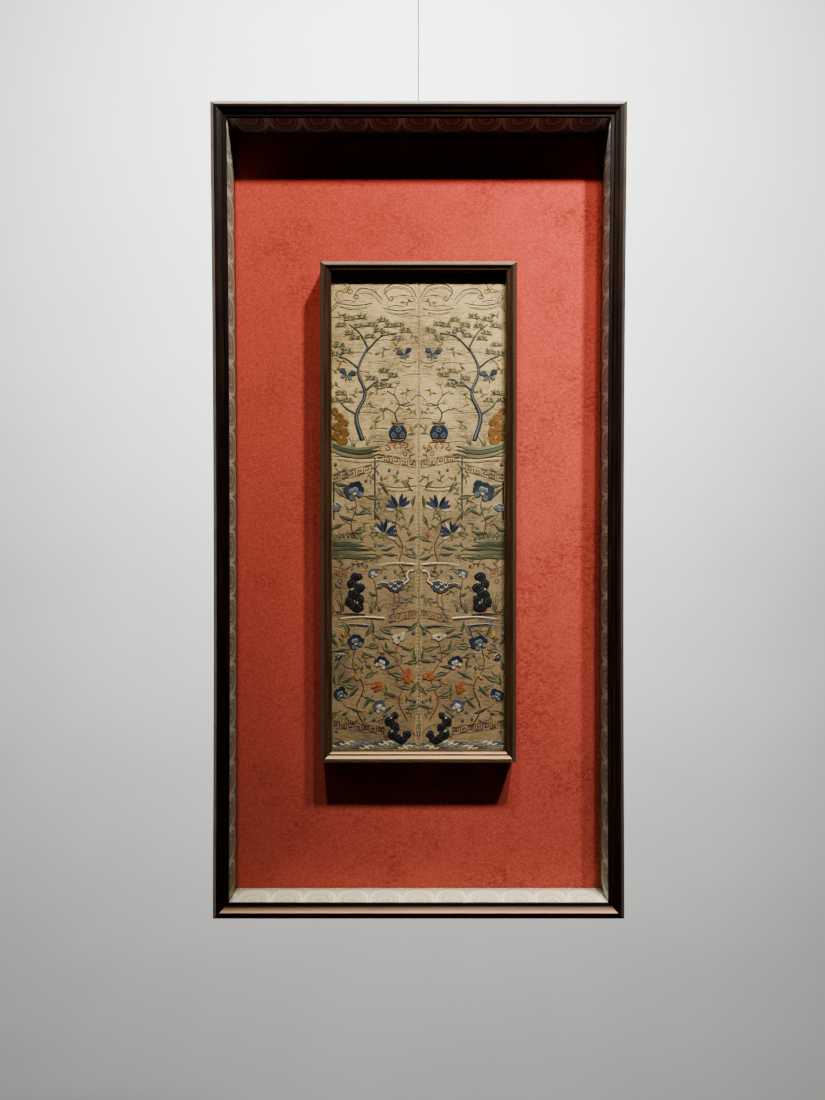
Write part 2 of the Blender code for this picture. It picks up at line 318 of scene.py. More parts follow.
def rosewood_finish_painted_light(kind, side):
    """Polished rosewood for one rail with painted light; steps set the painted highlight by mm from the foot.
    """
    looks = rail_looks[kind]
    made, tree, inputs = principled(f"rosewood {kind} {side}", looks["wood"][1], 0.4)
    grain = grain_node(tree, "X" if side in ("top", "bottom") else "Z")
    colour = ramp_node(grain["Streaks"], *zip((0.30, 0.52, 0.75), looks["wood"]))
    forwards = facing_mask(tree, (0.0, -1.0, 0.0), 0.20, 0.45)
    bevel = facing_mask(tree, outward_ways[side], 0.25, 0.50) * forwards
    patchy = noise_node(coordinate(tree), 60.0, 4.0, 0.65)
    rail_low, rail_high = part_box(f"{kind}_rail_{side}")
    if side == "top":
        edge = rail_high[2] - looks["rubbed and lit edge"]
        near_edge = axis(coordinate(tree), "Z").math("GREATER_THAN", edge)
        bevel = bevel.math("MAXIMUM", near_edge * forwards)
    # The bevel takes its side's tone: rubbed wear and painted light together.
    colour = mixed(bevel * (patchy + 0.42), colour, looks[side])
    if side == "bottom":
        deepest = 20 * MM
        from_foot = (axis(coordinate(tree), "Z") - rail_low[2]) / deepest
        steps = ramp_node(from_foot, *((at * MM / deepest, tone) for at, tone in looks["steps"]))
        # Painted highlight on the up-facing ledges of a bottom rail, in bands set by the steps.
        ledge = facing_mask(tree, (0.0, 0.0, 1.0), 0.10, 0.42) * forwards
        painted_highlight = ledge * (grain["Streaks"] * 0.6 + 0.55) * steps
        colour = mixed(painted_highlight, colour, looks["painted_highlight"])
    put(inputs, {
        "Base Color": colour,
        "Roughness": patchy * 0.12 + 0.33 + bevel * 0.15,
        "Specular IOR Level": 0.22 * polish[side],
        "Coat Weight": 0.12 * polish[side],
        "Coat Roughness": 0.30,
    })
    bumped(inputs, grain["Height"], 0.22, 0.10 * MM)
    return made


for side in outward_ways:
    for kind in rail_looks:
        refinish(f"{kind}_rail_{side}", rosewood_finish_painted_light(kind, side))


# The backboard is thin plywood, left bare at the back. The slips under the brocade are plain pale boards,
# and the board behind the silk is covered with linen.
def bare_board_finish(name, along, dark, light):
    made, tree, inputs = principled(name, light, 0.75)
    grain = grain_node(tree, along)
    put(inputs, {"Base Color": ramp_node(grain["Streaks"], (0.32, dark), (0.68, light))})
    bumped(inputs, grain["Height"], 0.35, 0.1 * MM)
    return made


refinish("backboard", bare_board_finish("bare plywood", "Z", (0.34, 0.21, 0.11), (0.50, 0.35, 0.20)))
slip_board = bare_board_finish("pale slip board", "Z", (0.42, 0.33, 0.22), (0.58, 0.48, 0.34))
for side in outward_ways:
    refinish(f"brocade_slip_{side}", slip_board)

linen, linen_tree, linen_inputs = principled("linen board", (0.50, 0.42, 0.30), 0.85)
linen_ribs = [(axis(coordinate(linen_tree), way) * 9000).math("SINE") for way in ("X", "Z")]
linen_slubs = noise_node(mapped(coordinate(linen_tree), (1.0, 1.0, 0.1)), 700.0, 3.0)
linen_tones = ramp_node(linen_slubs, (0.35, (0.36, 0.29, 0.19)), (0.65, (0.54, 0.46, 0.33)))
put(linen_inputs, {"Base Color": linen_tones})
bumped(linen_inputs, linen_ribs[0] + linen_ribs[1], 0.3, 0.1 * MM)
refinish("band_board", linen)


# The red cloth is suede-like, brick red, drawn flat over the backboard. Its nap lies in soft patches, and
# small dark crumbs of worn nap gather in clouds, most of them on the right. Towards the foot it carries
# painted shade, and its hue is shifted with height.
red_suede, red_tree, red_inputs = principled("red suede", (0.42, 0.08, 0.05), 0.95)
red_place = coordinate(red_tree)
patches = noise_node(red_place, 11.0, 6.0, 0.62)
nap = noise_node(red_place, 620.0, 4.0, 0.7)
crumbs = noise_node(mapped(red_place, (0.8, 1.0, 1.35)), 300.0, 5.0, 0.8)
nap_tones = ((0.32, 0.033, 0.022), (0.45, 0.053, 0.035), (0.57, 0.077, 0.053))
worn_tone = (0.19, 0.018, 0.013)
to_right = spread(axis(red_place, "X"), -0.20, 0.20, -0.05, 0.07)
clouds = ramp_node(patches + to_right, (0.46, 0.10), (0.66, 1.0))
worn = clouds * ramp_node(crumbs, (0.48, 0.0), (0.56, 1.0))
red = mixed(worn * 0.72, ramp_node(nap, *zip((0.32, 0.50, 0.68), nap_tones)), worn_tone)
# Painted shade: the colour is darkened towards the foot, and its hue is shifted with height.
red_up = spread(axis(red_place, "Z"), box_low[2], box_middle + 0.40)
painted_shade_by_height = ramp_node(red_up, (0.0, (0.74, 0.97, 1.04)), (0.6, (0.98, 1.08, 1.08)),
                        (1.0, (1.0, 0.88, 0.88)))
put(red_inputs, {"Base Color": mixed(1.0, red, painted_shade_by_height, "MULTIPLY"), "Specular IOR Level": 0.08})
bumped(red_inputs, nap + crumbs * 0.8, 0.5, 0.25 * MM)


def swelling(x, z, size, seed):
    """How far a stretched cloth swells at a place, a slow wave with a little pucker on it."""
    slow = noise.noise(Vector((x * 14, z * 9, seed)))
    pucker = noise.noise(Vector((x * 130, z * 95, seed + 4)))
    return size * (0.72 * slow + 0.28 * pucker)


def thicken(sheet, thickness):
    """Gives a sheet its thickness, behind the face that shows."""
    shell = sheet.modifiers.new("Cloth thickness", "SOLIDIFY")
    shell.thickness = thickness
    shell.offset = -1.0
    sheet.data.shade_smooth()


def stretched_sheet(name, node, cell, swell, finish, seed):
    """A thin, slowly swelling sheet in a flat cloth node's place; returns it with its flat size."""
    low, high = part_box(node)
    width = high[0] - low[0]
    height = high[2] - low[2]
    bm = bmesh.new()
    bmesh.ops.create_grid(bm, x_segments=round(width / cell), y_segments=round(height / cell), size=0.5)
    for vert in bm.verts:
        x = low[0] + (vert.co.x + 0.5) * width
        z = low[2] + (vert.co.y + 0.5) * height
        vert.co = (x, low[1] + swell + swelling(x, z, swell, seed), z)
    bmesh.ops.recalc_face_normals(bm, faces=bm.faces)
    if next(iter(bm.faces)).normal.y > 0:
        bmesh.ops.reverse_faces(bm, faces=bm.faces)
    sheet = piece_from(bm, name, finish)
    thicken(sheet, (high[1] - low[1]) * 0.6)
    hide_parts(node)
    return sheet, (width, height)


red_sheet, red_flat = stretched_sheet("red_suede_cloth", "red_cloth", 6 * MM, 0.12 * MM, red_suede,
                                      3.0)


# The brocade is glued round the slips with its repeat along the box: broad flat-topped arches that hold thin
# concentric bands, small half medallions between them, and a fret. On the uprights and under the top rail its
# colours carry painted shade, with a tint of their own on each side.
brocade_repeat = 37.3 * MM
fret_repeat = 5.3 * MM
rib_repeat = 0.5 * MM

medallions, brocade_vector, medallion_ends = new_group("fan medallions", ("Arch", "Front", "Back", "Fret"))
brocade_along = axis(brocade_vector, "X")
brocade_deep = axis(brocade_vector, "Y")


def from_centre(shift, back, half_width, depth, power):
    """0 at the middle of a medallion and 1 at its rim; it lies back from the slip's nose."""
    across = (brocade_along + shift).math("WRAP", brocade_repeat / 2, -brocade_repeat / 2)
    across = across.math("ABSOLUTE") / half_width
    behind = (brocade_deep - back).math("ABSOLUTE") / depth
    both = across.math("POWER", power) + behind.math("POWER", power)
    return both.math("POWER", 1 / power)


def sine_of(value, repeat):
    """A wave with the given repeat."""
    return (value * (math.tau / repeat)).math("SINE")


put(medallion_ends, {
    "Arch": from_centre(0.0, 0.0, brocade_repeat / 2, 29 * MM, 3.0),
    "Front": from_centre(brocade_repeat / 2, 0.0, 5.4 * MM, 10 * MM, 1.1),
    "Back": from_centre(brocade_repeat / 2, 35 * MM, 12 * MM, 17 * MM, 1.7),
    "Fret": sine_of(brocade_along + brocade_deep, fret_repeat)
            * sine_of(brocade_along - brocade_deep, fret_repeat),
})


def brocade_finish(name, ground, satin):
    """Ivory satin figures on a duller ground; each is a pair of tones, from slack yarn to full."""
    made, tree, inputs = principled(name, satin[1], 0.5)
    weave_map = coordinate(tree, "UV")
    drawn = group_node(medallions, weave_map)
    half = 0.6
    arch = ramp_node(drawn["Arch"], (0.30, 0.0), (0.34, half), (0.42, half), (0.46, 0.0), (0.62, 0.0),
                     (0.65, half), (0.70, half), (0.73, 0.0), (0.79, 0.0), (0.81, 1.0), (0.985, 1.0),
                     (1.0, 0.0))
    front = ramp_node(drawn["Front"], (0.0, 1.0), (0.20, 1.0), (0.30, 0.0), (0.55, 0.0), (0.62, 1.0),
                      (0.82, 1.0), (0.90, 0.0))
    back = ramp_node(drawn["Back"], (0.25, half), (0.30, 0.0), (0.52, 0.0), (0.57, half), (0.68, half),
                     (0.73, 0.0))
    fret = drawn["Fret"].math("GREATER_THAN", 0.22) * 0.7
    figure = arch.math("MAXIMUM", front.math("MAXIMUM", back).math("MAXIMUM", fret))
    slub = noise_node(mapped(weave_map, (0.1, 1.0, 1.0)), 1400.0, 3.0)
    ground_tone = ramp_node(slub, (0.35, ground[0]), (0.65, ground[1]))
    satin_tone = ramp_node(slub, (0.30, satin[0]), (0.70, satin[1]))
    put(inputs, {"Base Color": mixed(figure, ground_tone, satin_tone), "Specular IOR Level": 0.12})
    rib = sine_of(axis(weave_map, "X"), rib_repeat)
    bumped(inputs, rib * 0.15 + (slub * 0.4 + figure), 0.45, 0.15 * MM)
    return made


# Four copies of one brocade: the top and the uprights carry painted shade, and the bottom is the lit one.
brocade_painted_light = {
    "top": brocade_finish("ivory brocade with painted shade", ((0.09, 0.10, 0.10), (0.15, 0.17, 0.17)),
                          ((0.40, 0.52, 0.53), (0.50, 0.64, 0.66))),
    "bottom": brocade_finish("ivory brocade", ((0.48, 0.45, 0.23), (0.72, 0.68, 0.40)),
                             ((1.0, 0.98, 0.76), (1.0, 0.99, 0.84))),
    "left": brocade_finish("ivory brocade with painted light on the left", ((0.050, 0.047, 0.031), (0.088, 0.082, 0.055)),
                           ((0.33, 0.345, 0.255), (0.49, 0.51, 0.38))),
    "right": brocade_finish("ivory brocade with painted light on the right", ((0.075, 0.094, 0.070), (0.128, 0.160, 0.126)),
                            ((0.38, 0.50, 0.43), (0.52, 0.66, 0.59))),
}

moulding_width = 18.0 * MM
side_bow = box_high[0] - box_low[0] - moulding_width
straight_end = 30 * MM
cloth_stand_off = 0.25 * MM
mitre_gap = 0.25 * MM
strip_cuts = 23
slip_nose = 0.8 * MM
slip_edge = 18.2 * MM
slip_lean = (0.3 * MM, 0.6 * MM)
slip_front = front_y + 5.7 * MM
slip_middle = slip_front + 17 * MM
slip_back = front_y + 39.9 * MM


def brocade_path():
    """The way of the cloth on a slip, as (inward, y): from behind the moulding round the nose and back."""
    path = [(slip_edge - 1.5 * slip_nose, slip_front - cloth_stand_off / 2)]
    reach = slip_nose + cloth_stand_off / 2
    for degrees in (-90, -60, -30, 0):
        angle = math.radians(degrees)
        path.append((slip_edge - slip_nose + reach * math.cos(angle),
                     slip_front + slip_nose + reach * math.sin(angle)))
    for lean, y in zip(slip_lean, (slip_middle, slip_back)):
        path.append((slip_edge + lean + cloth_stand_off / 2, y))
    return path


def brocade_strip(side):
    """The cloth on one slip, mitred at both ends."""
    low, high = box_low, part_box("outer_rail_right")[1]
    upright = side in ("left", "right")
    length = (high[2] - low[2]) if upright else (high[0] - low[0])
    path = brocade_path()
    bm = bmesh.new()
    verts = [bm.verts.new((0.0, y, inward)) for inward, y in path]
    chain = [bm.edges.new(pair) for pair in zip(verts, verts[1:])]
    far = set(filter(is_vert, bmesh.ops.extrude_edge_only(bm, edges=chain)["geom"]))
    for vert in bm.verts:
        reach = length / 2 - vert.co.z - mitre_gap
        vert.co.x = reach if vert in far else -reach
    runs = [edge for edge in bm.edges if (edge.verts[0] in far) != (edge.verts[1] in far)]
    bmesh.ops.subdivide_edges(bm, edges=runs, cuts=strip_cuts)
    layer = bm.loops.layers.uv.new("weave")
    for face in bm.faces:
        for loop in face.loops:
            loop[layer].uv = (loop.vert.co.x, loop.vert.co.y - slip_front)
    for vert in bm.verts:
        along, y, inward = vert.co
        if upright:
            share = along / (length / 2 - straight_end)
            inward += side_bow * max(0.0, 1 - share * share)
            x = low[0] + inward if side == "left" else high[0] - inward
            vert.co = (x, y, box_middle + along)
        else:
            z = high[2] - inward if side == "top" else low[2] + inward
            vert.co = ((low[0] + high[0]) / 2 + along, y, z)
    middle = Vector((0.0, 0.0, box_middle))
    bmesh.ops.recalc_face_normals(bm, faces=bm.faces)
    widest = max(bm.faces, key=lambda face: face.calc_area())
    if widest.normal.dot(middle - widest.calc_center_median()) < 0:
        bmesh.ops.reverse_faces(bm, faces=bm.faces)
    strip = piece_from(bm, f"brocade_cloth_{side}", brocade_painted_light[side])
    thicken(strip, cloth_stand_off * 0.6)
    length - 2 * slip_edge


for side in outward_ways:
    brocade_strip(side)


# The silk of the two bands is a beige gauze, a plain weave with uneven wefts that run across the band, and
# its colour is darker towards the foot. The bands are sewn edge to edge and puckered a little by the
# stitching.
yarn_repeat = 0.7 * MM
silk_swell = 0.24 * MM
silk_seed = 7.0
opening_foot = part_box("inner_rail_bottom")[1][2]
opening_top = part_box("inner_rail_top")[0][2]

silk, silk_tree, silk_inputs = principled("beige silk", (0.55, 0.42, 0.26), 0.6)
silk_place = coordinate(silk_tree)
slubs = noise_node(mapped(silk_place, (0.08, 1.0, 1.0)), 900.0, 3.0, 0.6)
ends = noise_node(mapped(silk_place, (1.0, 1.0, 0.08)), 900.0, 2.0)
stains = noise_node(silk_place, 22.0, 5.0, 0.6)
grit = noise_node(mapped(silk_place, (0.7, 1.0, 1.0)), 620.0, 3.0, 0.7)
weave = sine_of(axis(silk_place, "Z"), yarn_repeat) * 0.6 + sine_of(axis(silk_place, "X"), yarn_repeat) * 0.3
silk_tone = slubs * 0.3 + stains * 0.4 + grit * 0.3 + weave * 0.02
silk_tones = ((0.150, 0.090, 0.022), (0.430, 0.300, 0.088), (0.720, 0.540, 0.195))
clean = ramp_node(silk_tone, *zip((0.39, 0.46, 0.54), silk_tones))
silk_up = spread(axis(silk_place, "Z"), opening_foot, opening_top)
# The colour is darker towards the foot.
darker_to_foot = ramp_node(silk_up, (0.0, 1.0), (0.45, 0.93), (0.68, 0.24), (0.95, 0.0))
put(silk_inputs, {"Base Color": mixed(darker_to_foot, clean, (0.31, 0.27, 0.22), "MULTIPLY"), "Sheen Weight": 0.15})
bumped(silk_inputs, weave + (slubs * 1.5 + ends) + grit * 3.0, 0.7, 0.25 * MM)

for side in ("left", "right"):
    stretched_sheet(f"silk_band_{side}", f"band_{side}", 2.2 * MM, silk_swell, silk,
                                        silk_seed)


# The embroidery is worked in untwisted coloured silks: satin stitch over light padding, couched brown
# outlines and stems. The garden on it, with its trees, rocks, flowers and birds, is a plain one of its own.
# It is laid out in millimetres: x out from the seam and z up from the small frame's lower rail.
threads = {
    "navy": (0.0022, 0.0044, 0.0115),
    "blue": (0.009, 0.021, 0.04),
    "pale blue": (0.115, 0.15, 0.155),
    "slate": (0.02, 0.03, 0.037),
    "grey": (0.04, 0.045, 0.047),
    "sage": (0.062, 0.068, 0.029),
    "dark sage": (0.02, 0.024, 0.01),
    "pale green": (0.19, 0.205, 0.085),
    "olive": (0.08, 0.066, 0.018),
    "ochre": (0.22, 0.095, 0.012),
    "amber": (0.17, 0.078, 0.006),
    "coral": (0.33, 0.056, 0.014),
    "gold": (0.34, 0.2, 0.035),
    "straw": (0.48, 0.35, 0.14),
    "black": (0.0024, 0.0022, 0.0022),
    "ivory": (0.59, 0.5, 0.31),
    "umber": (0.036, 0.015, 0.0065),
    "russet": (0.15, 0.036, 0.015),
}
seam_gap = 0.2
widest = 97.2
lowest, highest = 0.6, 537.4
sunk = 0.15
thread_rise = 0.85
square = 2


def lens(length, width, peak=0.5, blunt=1.0, bend=0.0, steps=6):
    """The outline of a leaf or petal from its foot at (0, 0) along the first axis."""
    power = math.log(0.5) / math.log(peak)
    lower = []
    upper = []
    for step in range(1, steps):
        t = step / steps
        half = width / 2 * math.sin(math.pi * t**power) ** blunt
        lean = bend * math.sin(math.pi * t)
        lower.append((length * t, lean - half))
        upper.append((length * t, lean + half))
    return [(0.0, 0.0)] + lower + [(length, 0.0)] + upper[::-1]


def disc(across, up=None, points=9):
    """A round or oval outline about (0, 0)."""
    up = across if up is None else up
    steps = [math.tau * step / points for step in range(points)]
    return [(across / 2 * math.cos(angle), up / 2 * math.sin(angle)) for angle in steps]


def turned(points, x, z, degrees=0.0, size=1.0):
    """Points turned, scaled and moved to (x, z)."""
    cos, sin = math.cos(math.radians(degrees)), math.sin(math.radians(degrees))
    return [(x + size * (u * cos - v * sin), z + size * (u * sin + v * cos)) for u, v in points]


def smoothed(points, steps=4):
    """A smooth line through points."""
    line = [Vector(point) for point in points]
    ends = [line[0] * 2 - line[1]] + line + [line[-1] * 2 - line[-2]]
    made = []
    for before, start, end, after in zip(ends, ends[1:], ends[2:], ends[3:]):
        pulls = start + (end - before) / 6, end - (after - start) / 6
        made += [tuple(point) for point in geometry.interpolate_bezier(start, *pulls, end, steps + 1)[:-1]]
    return made + [tuple(line[-1])]


class Needlework:
    """The stitches of one band, with the hand that draws at random and the small squares that are sewn."""

    def __init__(self, side, way, seed):
        self.side = side
        self.way = way
        self.hand = random.Random(seed)
        self.bm = bmesh.new()
        self.thread = self.bm.verts.layers.float_color.new("thread")
        self.stitch = self.bm.verts.layers.float_vector.new("stitch")
        self.lines = {}
        self.taken = set()
        self.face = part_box(f"band_{side}")[0][1] + silk_swell

    def take(self, points):
        """Marks the squares that a motif covers, so that the sprigs are sewn between the motifs."""
        self.taken.update((int(x // square), int(z // square)) for x, z in points)

    def free(self, x, z, reach):
        """True where nothing is sewn within reach of a point."""
        columns = range(int((x - reach) // square), int((x + reach) // square) + 1)
        rows = range(int((z - reach) // square), int((z + reach) // square) + 1)
        return not any((column, row) in self.taken for column in columns for row in rows)

    def on_silk(self, x, z, up):
        """The place of a point up millimetres off the silk; nothing runs under the rails."""
        x = self.way * (seam_gap + min(max(x, seam_gap), widest)) * MM
        z = opening_foot + min(max(z, lowest), highest) * MM
        return Vector((x, self.face + swelling(x, z, silk_swell, silk_seed) - up * MM, z))

    def patch(self, outline, colour, tip=None, rim=None, grain=0.0, lift=0.7, edge=0.35):
        """Satin stitch inside an outline. The colour passes to tip along the grain; the rim has its own."""
        bm = self.bm
        middle = Vector((sum(x for x, z in outline), sum(z for x, z in outline))) / len(outline)
        for share in (1.0, 0.66, 0.33, 0.0):
            self.take(middle + (Vector(point) - middle) * share for point in outline)
        colour = threads[colour]
        tip = threads[tip] if tip else colour
        rim = threads[rim] if rim else tuple(part * 0.45 for part in colour)
        shade = self.hand.uniform(0.86, 1.14)
        base = bm.faces.new([bm.verts.new((x, z, 0.0)) for x, z in outline])
        grown = bmesh.ops.extrude_face_region(bm, geom=[base], use_keep_orig=True)["geom"]
        crown = next(item for item in grown if isinstance(item, bmesh.types.BMFace))
        for vert in crown.verts:
            vert.co.z = lift * 0.55
        bmesh.ops.inset_region(bm, faces=[crown], thickness=edge, use_even_offset=False)
        for vert in crown.verts:
            vert.co.z = lift
        verts = set(base.verts)
        for ring in range(2):
            verts |= {link.other_vert(vert) for vert in verts for link in vert.link_edges}
        bmesh.ops.triangulate(bm, faces=[crown])
        along = Vector((math.cos(math.radians(grain)), math.sin(math.radians(grain))))
        runs = [vert.co.xy.dot(along) for vert in verts]
        nearest, farthest = min(runs), max(runs)
        depth = self.hand.uniform(0.0, 9.0)
        for vert in verts:
            x, z, up = vert.co
            run = vert.co.xy.dot(along)
            share = (run - nearest) / max(farthest - nearest, 0.01)
            tone = rim if up < lift * 0.9 else [a + (b - a) * share for a, b in zip(colour, tip)]
            vert[self.thread] = (*(part * shade for part in tone), 1.0)
            vert[self.stitch] = (vert.co.xy.dot(Vector((-along.y, along.x))) * MM, run * MM, depth * MM)
            vert.co = self.on_silk(x, z, up if up > 0 else -sunk)

    def petal(self, outline, x, z, turn, colour, tip, rim, lift=0.7, edge=0.35):
        """A patch laid from (x, z) at a turn, with its stitches along it."""
        self.patch(turned(outline, x, z, turn), colour, tip, rim, turn, lift, edge)

    def line(self, points, colour, width=0.7, end_width=None, curved=True, raised=0.0):
        """A couched thread or a tapering stem; raised is the padding that it lies on."""
        points = smoothed(points) if curved else points
        end_width = width if end_width is None else end_width
        self.take(points)
        last = len(points) - 1
        widths = [width + (end_width - width) * index / last for index in range(last + 1)]
        self.lines.setdefault((colour, raised), []).append((points, widths))

    def lay_lines(self):
        """Makes every couched line a round thread, pressed flat on the silk."""
        bm = self.bm
        for (colour, raised), lines in self.lines.items():
            curve = bpy.data.curves.new("couching", "CURVE")
            curve.dimensions = "3D"
            curve.bevel_depth = 0.5 * MM
            curve.bevel_resolution = 1
            curve.use_fill_caps = True
            for points, widths in lines:
                spline = curve.splines.new("POLY")
                spline.points.add(len(points) - 1)
                for point, (x, z), width in zip(spline.points, points, widths):
                    point.co = (*self.on_silk(x, z, raised), 1.0)
                    point.radius = width
            holder = bpy.data.objects.new("couching", curve)
            mesh = bpy.data.meshes.new_from_object(holder)
            first = len(bm.verts)
            bm.from_mesh(mesh)
            bm.verts.ensure_lookup_table()
            for vert in bm.verts[first:]:
                silk_y = self.face + swelling(vert.co.x, vert.co.z, silk_swell, silk_seed) - raised * MM
                up = (silk_y - vert.co.y) / MM
                up = thread_rise * (1 - math.exp(-up / thread_rise)) if up > 0 else max(up, -sunk)
                vert.co.y = silk_y - up * MM
                vert[self.thread] = (*threads[colour], 1.0)
                vert[self.stitch] = (vert.co.x + vert.co.z, vert.co.x - vert.co.z, 0.0)
            bpy.data.objects.remove(holder)
            bpy.data.curves.remove(curve)
            bpy.data.meshes.remove(mesh)

    def wobble(self, x, z, turn=0.0, size=1.0):
        """Where the hand really put a motif: a little off, a little turned."""
        hand = self.hand
        return (x + hand.uniform(-0.9, 0.9), z + hand.uniform(-0.9, 0.9), turn + hand.uniform(-5, 5),
                size * hand.uniform(0.93, 1.07))

    def finish(self, finish):
        """Closes the work and makes it a piece."""
        self.lay_lines()
        bm = self.bm
        bm.faces.ensure_lookup_table()
        bmesh.ops.recalc_face_normals(bm, faces=bm.faces)
        if bm.calc_volume(signed=True) < 0:
            bmesh.ops.reverse_faces(bm, faces=bm.faces)
        return piece_from(bm, f"embroidery_{self.side}", finish)


def leaf(work, x, z, turn, length=15.0, width=4.8):
    """A slim leaf in two halves, one in the shade and one in the light, with a brown stalk."""
    placed = work.wobble(x, z, turn)
    grain = placed[2]
    bend = work.hand.uniform(-1.6, 1.6)
    steps = 5
    rib = [(length * step / steps, bend * math.sin(math.pi * step / steps)) for step in range(steps + 1)]
    halves = []
    for way in (1, -1):
        edge_line = []
        for step in range(1, steps):
            t = step / steps
            edge_line.append((length * t, rib[step][1] + way * width / 2 * math.sin(math.pi * t**0.85)))
        halves.append(rib + edge_line[::-1])
    dark, light = work.hand.choice(((0, 1), (1, 0)))
    work.patch(turned(halves[dark], *placed), "dark sage", "sage", "dark sage", grain, lift=0.55, edge=0.3)
    work.patch(turned(halves[light], *placed), "sage", "pale green", "sage", grain, lift=0.65, edge=0.3)
    stalk = [(-length * 0.22, 0.0), (0.0, 0.0), (length * 0.5, bend * 0.9)]
    work.line(turned(stalk, *placed), "umber", 0.8, 0.4, raised=0.3)


def blossom(work, x, z, size, petals, inner, outer, rim, heart, turn=90.0):
    """An open flower seen a little from the side, no two petals alike, every second one in the shade."""
    x, z, turn, size = work.wobble(x, z, turn, size)
    squash = work.hand.uniform(0.62, 0.85)
    lean = work.hand.uniform(0, 180)
    for petal in range(petals):
        angle = turn + 360 * petal / petals + work.hand.uniform(-12, 12)
        reach = size * work.hand.uniform(0.34, 0.52)
        outline = lens(reach, size * 2.3 / petals, 0.62, 0.8, work.hand.uniform(-0.8, 0.8))
        outline = [(u, v * squash) for u, v in turned(outline, 0.0, 0.0, angle - lean)]
        tones = (inner, outer) if petal % 2 else (outer, inner)
        work.patch(turned(outline, x, z, lean), *tones, rim, angle, lift=0.65 + 0.2 * (petal % 2),
                   edge=size * 0.035)
    work.patch(turned(disc(size * 0.18, size * 0.15), x, z), heart, None, "umber", lift=1.0, edge=0.3)


def double_blossom(work, x, z, size, tones=("navy", "blue", "pale blue")):
    """A full flower half turned away: broad dark petals at the back and two pale ones that fold forwards."""
    x, z, turn, size = work.wobble(x, z, 90.0, size)
    dark, middle, pale = tones
    lean = work.hand.choice((-1, 1)) * 24
    for angle, reach, broad in ((78, 0.46, 0.34), (-78, 0.46, 0.34), (40, 0.56, 0.40), (-40, 0.56, 0.40),
                                (0, 0.52, 0.42)):
        way = turn + lean + angle + work.hand.uniform(-8, 8)
        outline = lens(size * reach * work.hand.uniform(0.88, 1.10), size * broad, 0.66, 0.5)
        work.petal(outline, x, z, way, middle, dark, dark, lift=0.6, edge=size * 0.03)
    for angle, reach, broad in ((118, 0.34, 0.26), (-118, 0.34, 0.26), (24, 0.30, 0.24), (-24, 0.30, 0.24)):
        way = turn + lean + angle + work.hand.uniform(-8, 8)
        outline = lens(size * reach, size * broad, 0.60, 0.6)
        rim = "ivory" if abs(angle) < 90 else dark
        work.petal(outline, x, z, way, middle, pale, rim, lift=0.85, edge=size * 0.03)
    work.patch(turned(disc(size * 0.16, size * 0.12), x, z, lean), "gold", "ivory", "umber", lift=1.05)


def spiky_flower(work, x, z, size, turn):
    """A flower seen from the side, its narrow petals spread like a fan."""
    x, z, turn, size = work.wobble(x, z, turn, size)
    tones = ("pale blue", "navy", "blue", "black", "pale blue", "navy", "navy", "blue", "pale blue")
    tips = {"pale blue": "ivory", "black": "navy"}
    for index, tone in enumerate(tones):
        outline = lens(size * (0.62 - 0.035 * abs(index - 4)), size * 0.15, 0.55, 1.0)
        work.petal(outline, x, z, turn + (index - 4) * 22, tone, tips.get(tone, "blue"), "umber",
                   lift=0.5 + 0.3 * (index % 2), edge=0.3)
    work.patch(turned(disc(size * 0.22, size * 0.16), x, z), "gold", "sage", "umber", turn, lift=0.95)
    for angle in (turn + 150, turn - 150):
        work.petal(lens(size * 0.3, size * 0.12), x, z, angle, "sage", "pale green", "dark sage")


def pine_tuft(work, x, z, size):
    """A cluster of pine needles: a fan of light and dark spokes over a little shade."""
    placed = work.wobble(x, z, 0.0, size / 2)
    shade = [(-0.6, -0.1), (-0.45, 0.3), (0.0, 0.45), (0.45, 0.3), (0.6, -0.1), (0.0, -0.3)]
    work.patch(turned(shade, *placed), "sage", "dark sage", "dark sage", 90.0, lift=0.15, edge=0.3)
    tones = ("sage", "pale green", "dark sage", "pale green", "slate", "straw", "pale green", "dark sage",
             "pale green", "sage", "straw")
    for index, tone in enumerate(tones):
        angle = math.radians(-24 + 22.8 * index + work.hand.uniform(-7, 7))
        reach = work.hand.uniform(0.80, 1.18)
        spoke = [(0.14 * math.cos(angle), -0.2),
                 (reach * math.cos(angle), reach * 0.86 * math.sin(angle) - 0.1)]
        work.line(turned(spoke, *placed), tone, 0.95, 0.75, curved=False, raised=0.15 + 0.2 * (index % 2))


def spiral(work, x, z, radius, turns, start, colour, width, way=1, raised=0.0):
    """A couched curl that winds inwards."""
    points = []
    for step in range(int(9 * turns) + 1):
        share = step / (9 * turns)
        angle = math.radians(start) + way * math.tau * turns * share
        reach = radius * (1 - 0.8 * share)
        points.append((x + reach * math.cos(angle), z + reach * math.sin(angle)))
    work.line(points, colour, width, raised=raised)


def cloud(work, points, colour="umber"):
    """A drifting cloud: a doubled line with a pale one beside it, and a curl at the end."""
    work.line(points, colour, 1.15)
    work.line([(x + 0.8, z - 2.4) for x, z in points[:-1]], "ivory", 1.0)
    work.line([(x + 1.6, z - 4.6) for x, z in points[:-1]], "ochre" if colour == "umber" else "umber", 0.9)
    x, z = points[-1]
    spiral(work, x - 3.4, z, 3.4, 1.2, 0, colour, 1.1, -1)


def blades(work, x, z, size, count, lean, colour="sage"):
    """A clump of grass or orchid leaves."""
    for index in range(count):
        fan = (index - (count - 1) / 2) / max(count - 1, 1)
        tall = size * work.hand.uniform(0.75, 1.05)
        tip_x = x + size * (fan * 1.1 + lean)
        points = [(x + fan * 2, z), (x + (tip_x - x) * 0.35, z + tall * 0.55), (tip_x, z + tall * 0.9),
                  (tip_x + size * 0.18 * (1 if fan > 0 else -1), z + tall * (0.85 - 0.3 * abs(fan)))]
        work.line(points, colour if index % 2 else "dark sage", 1.3, 0.25)


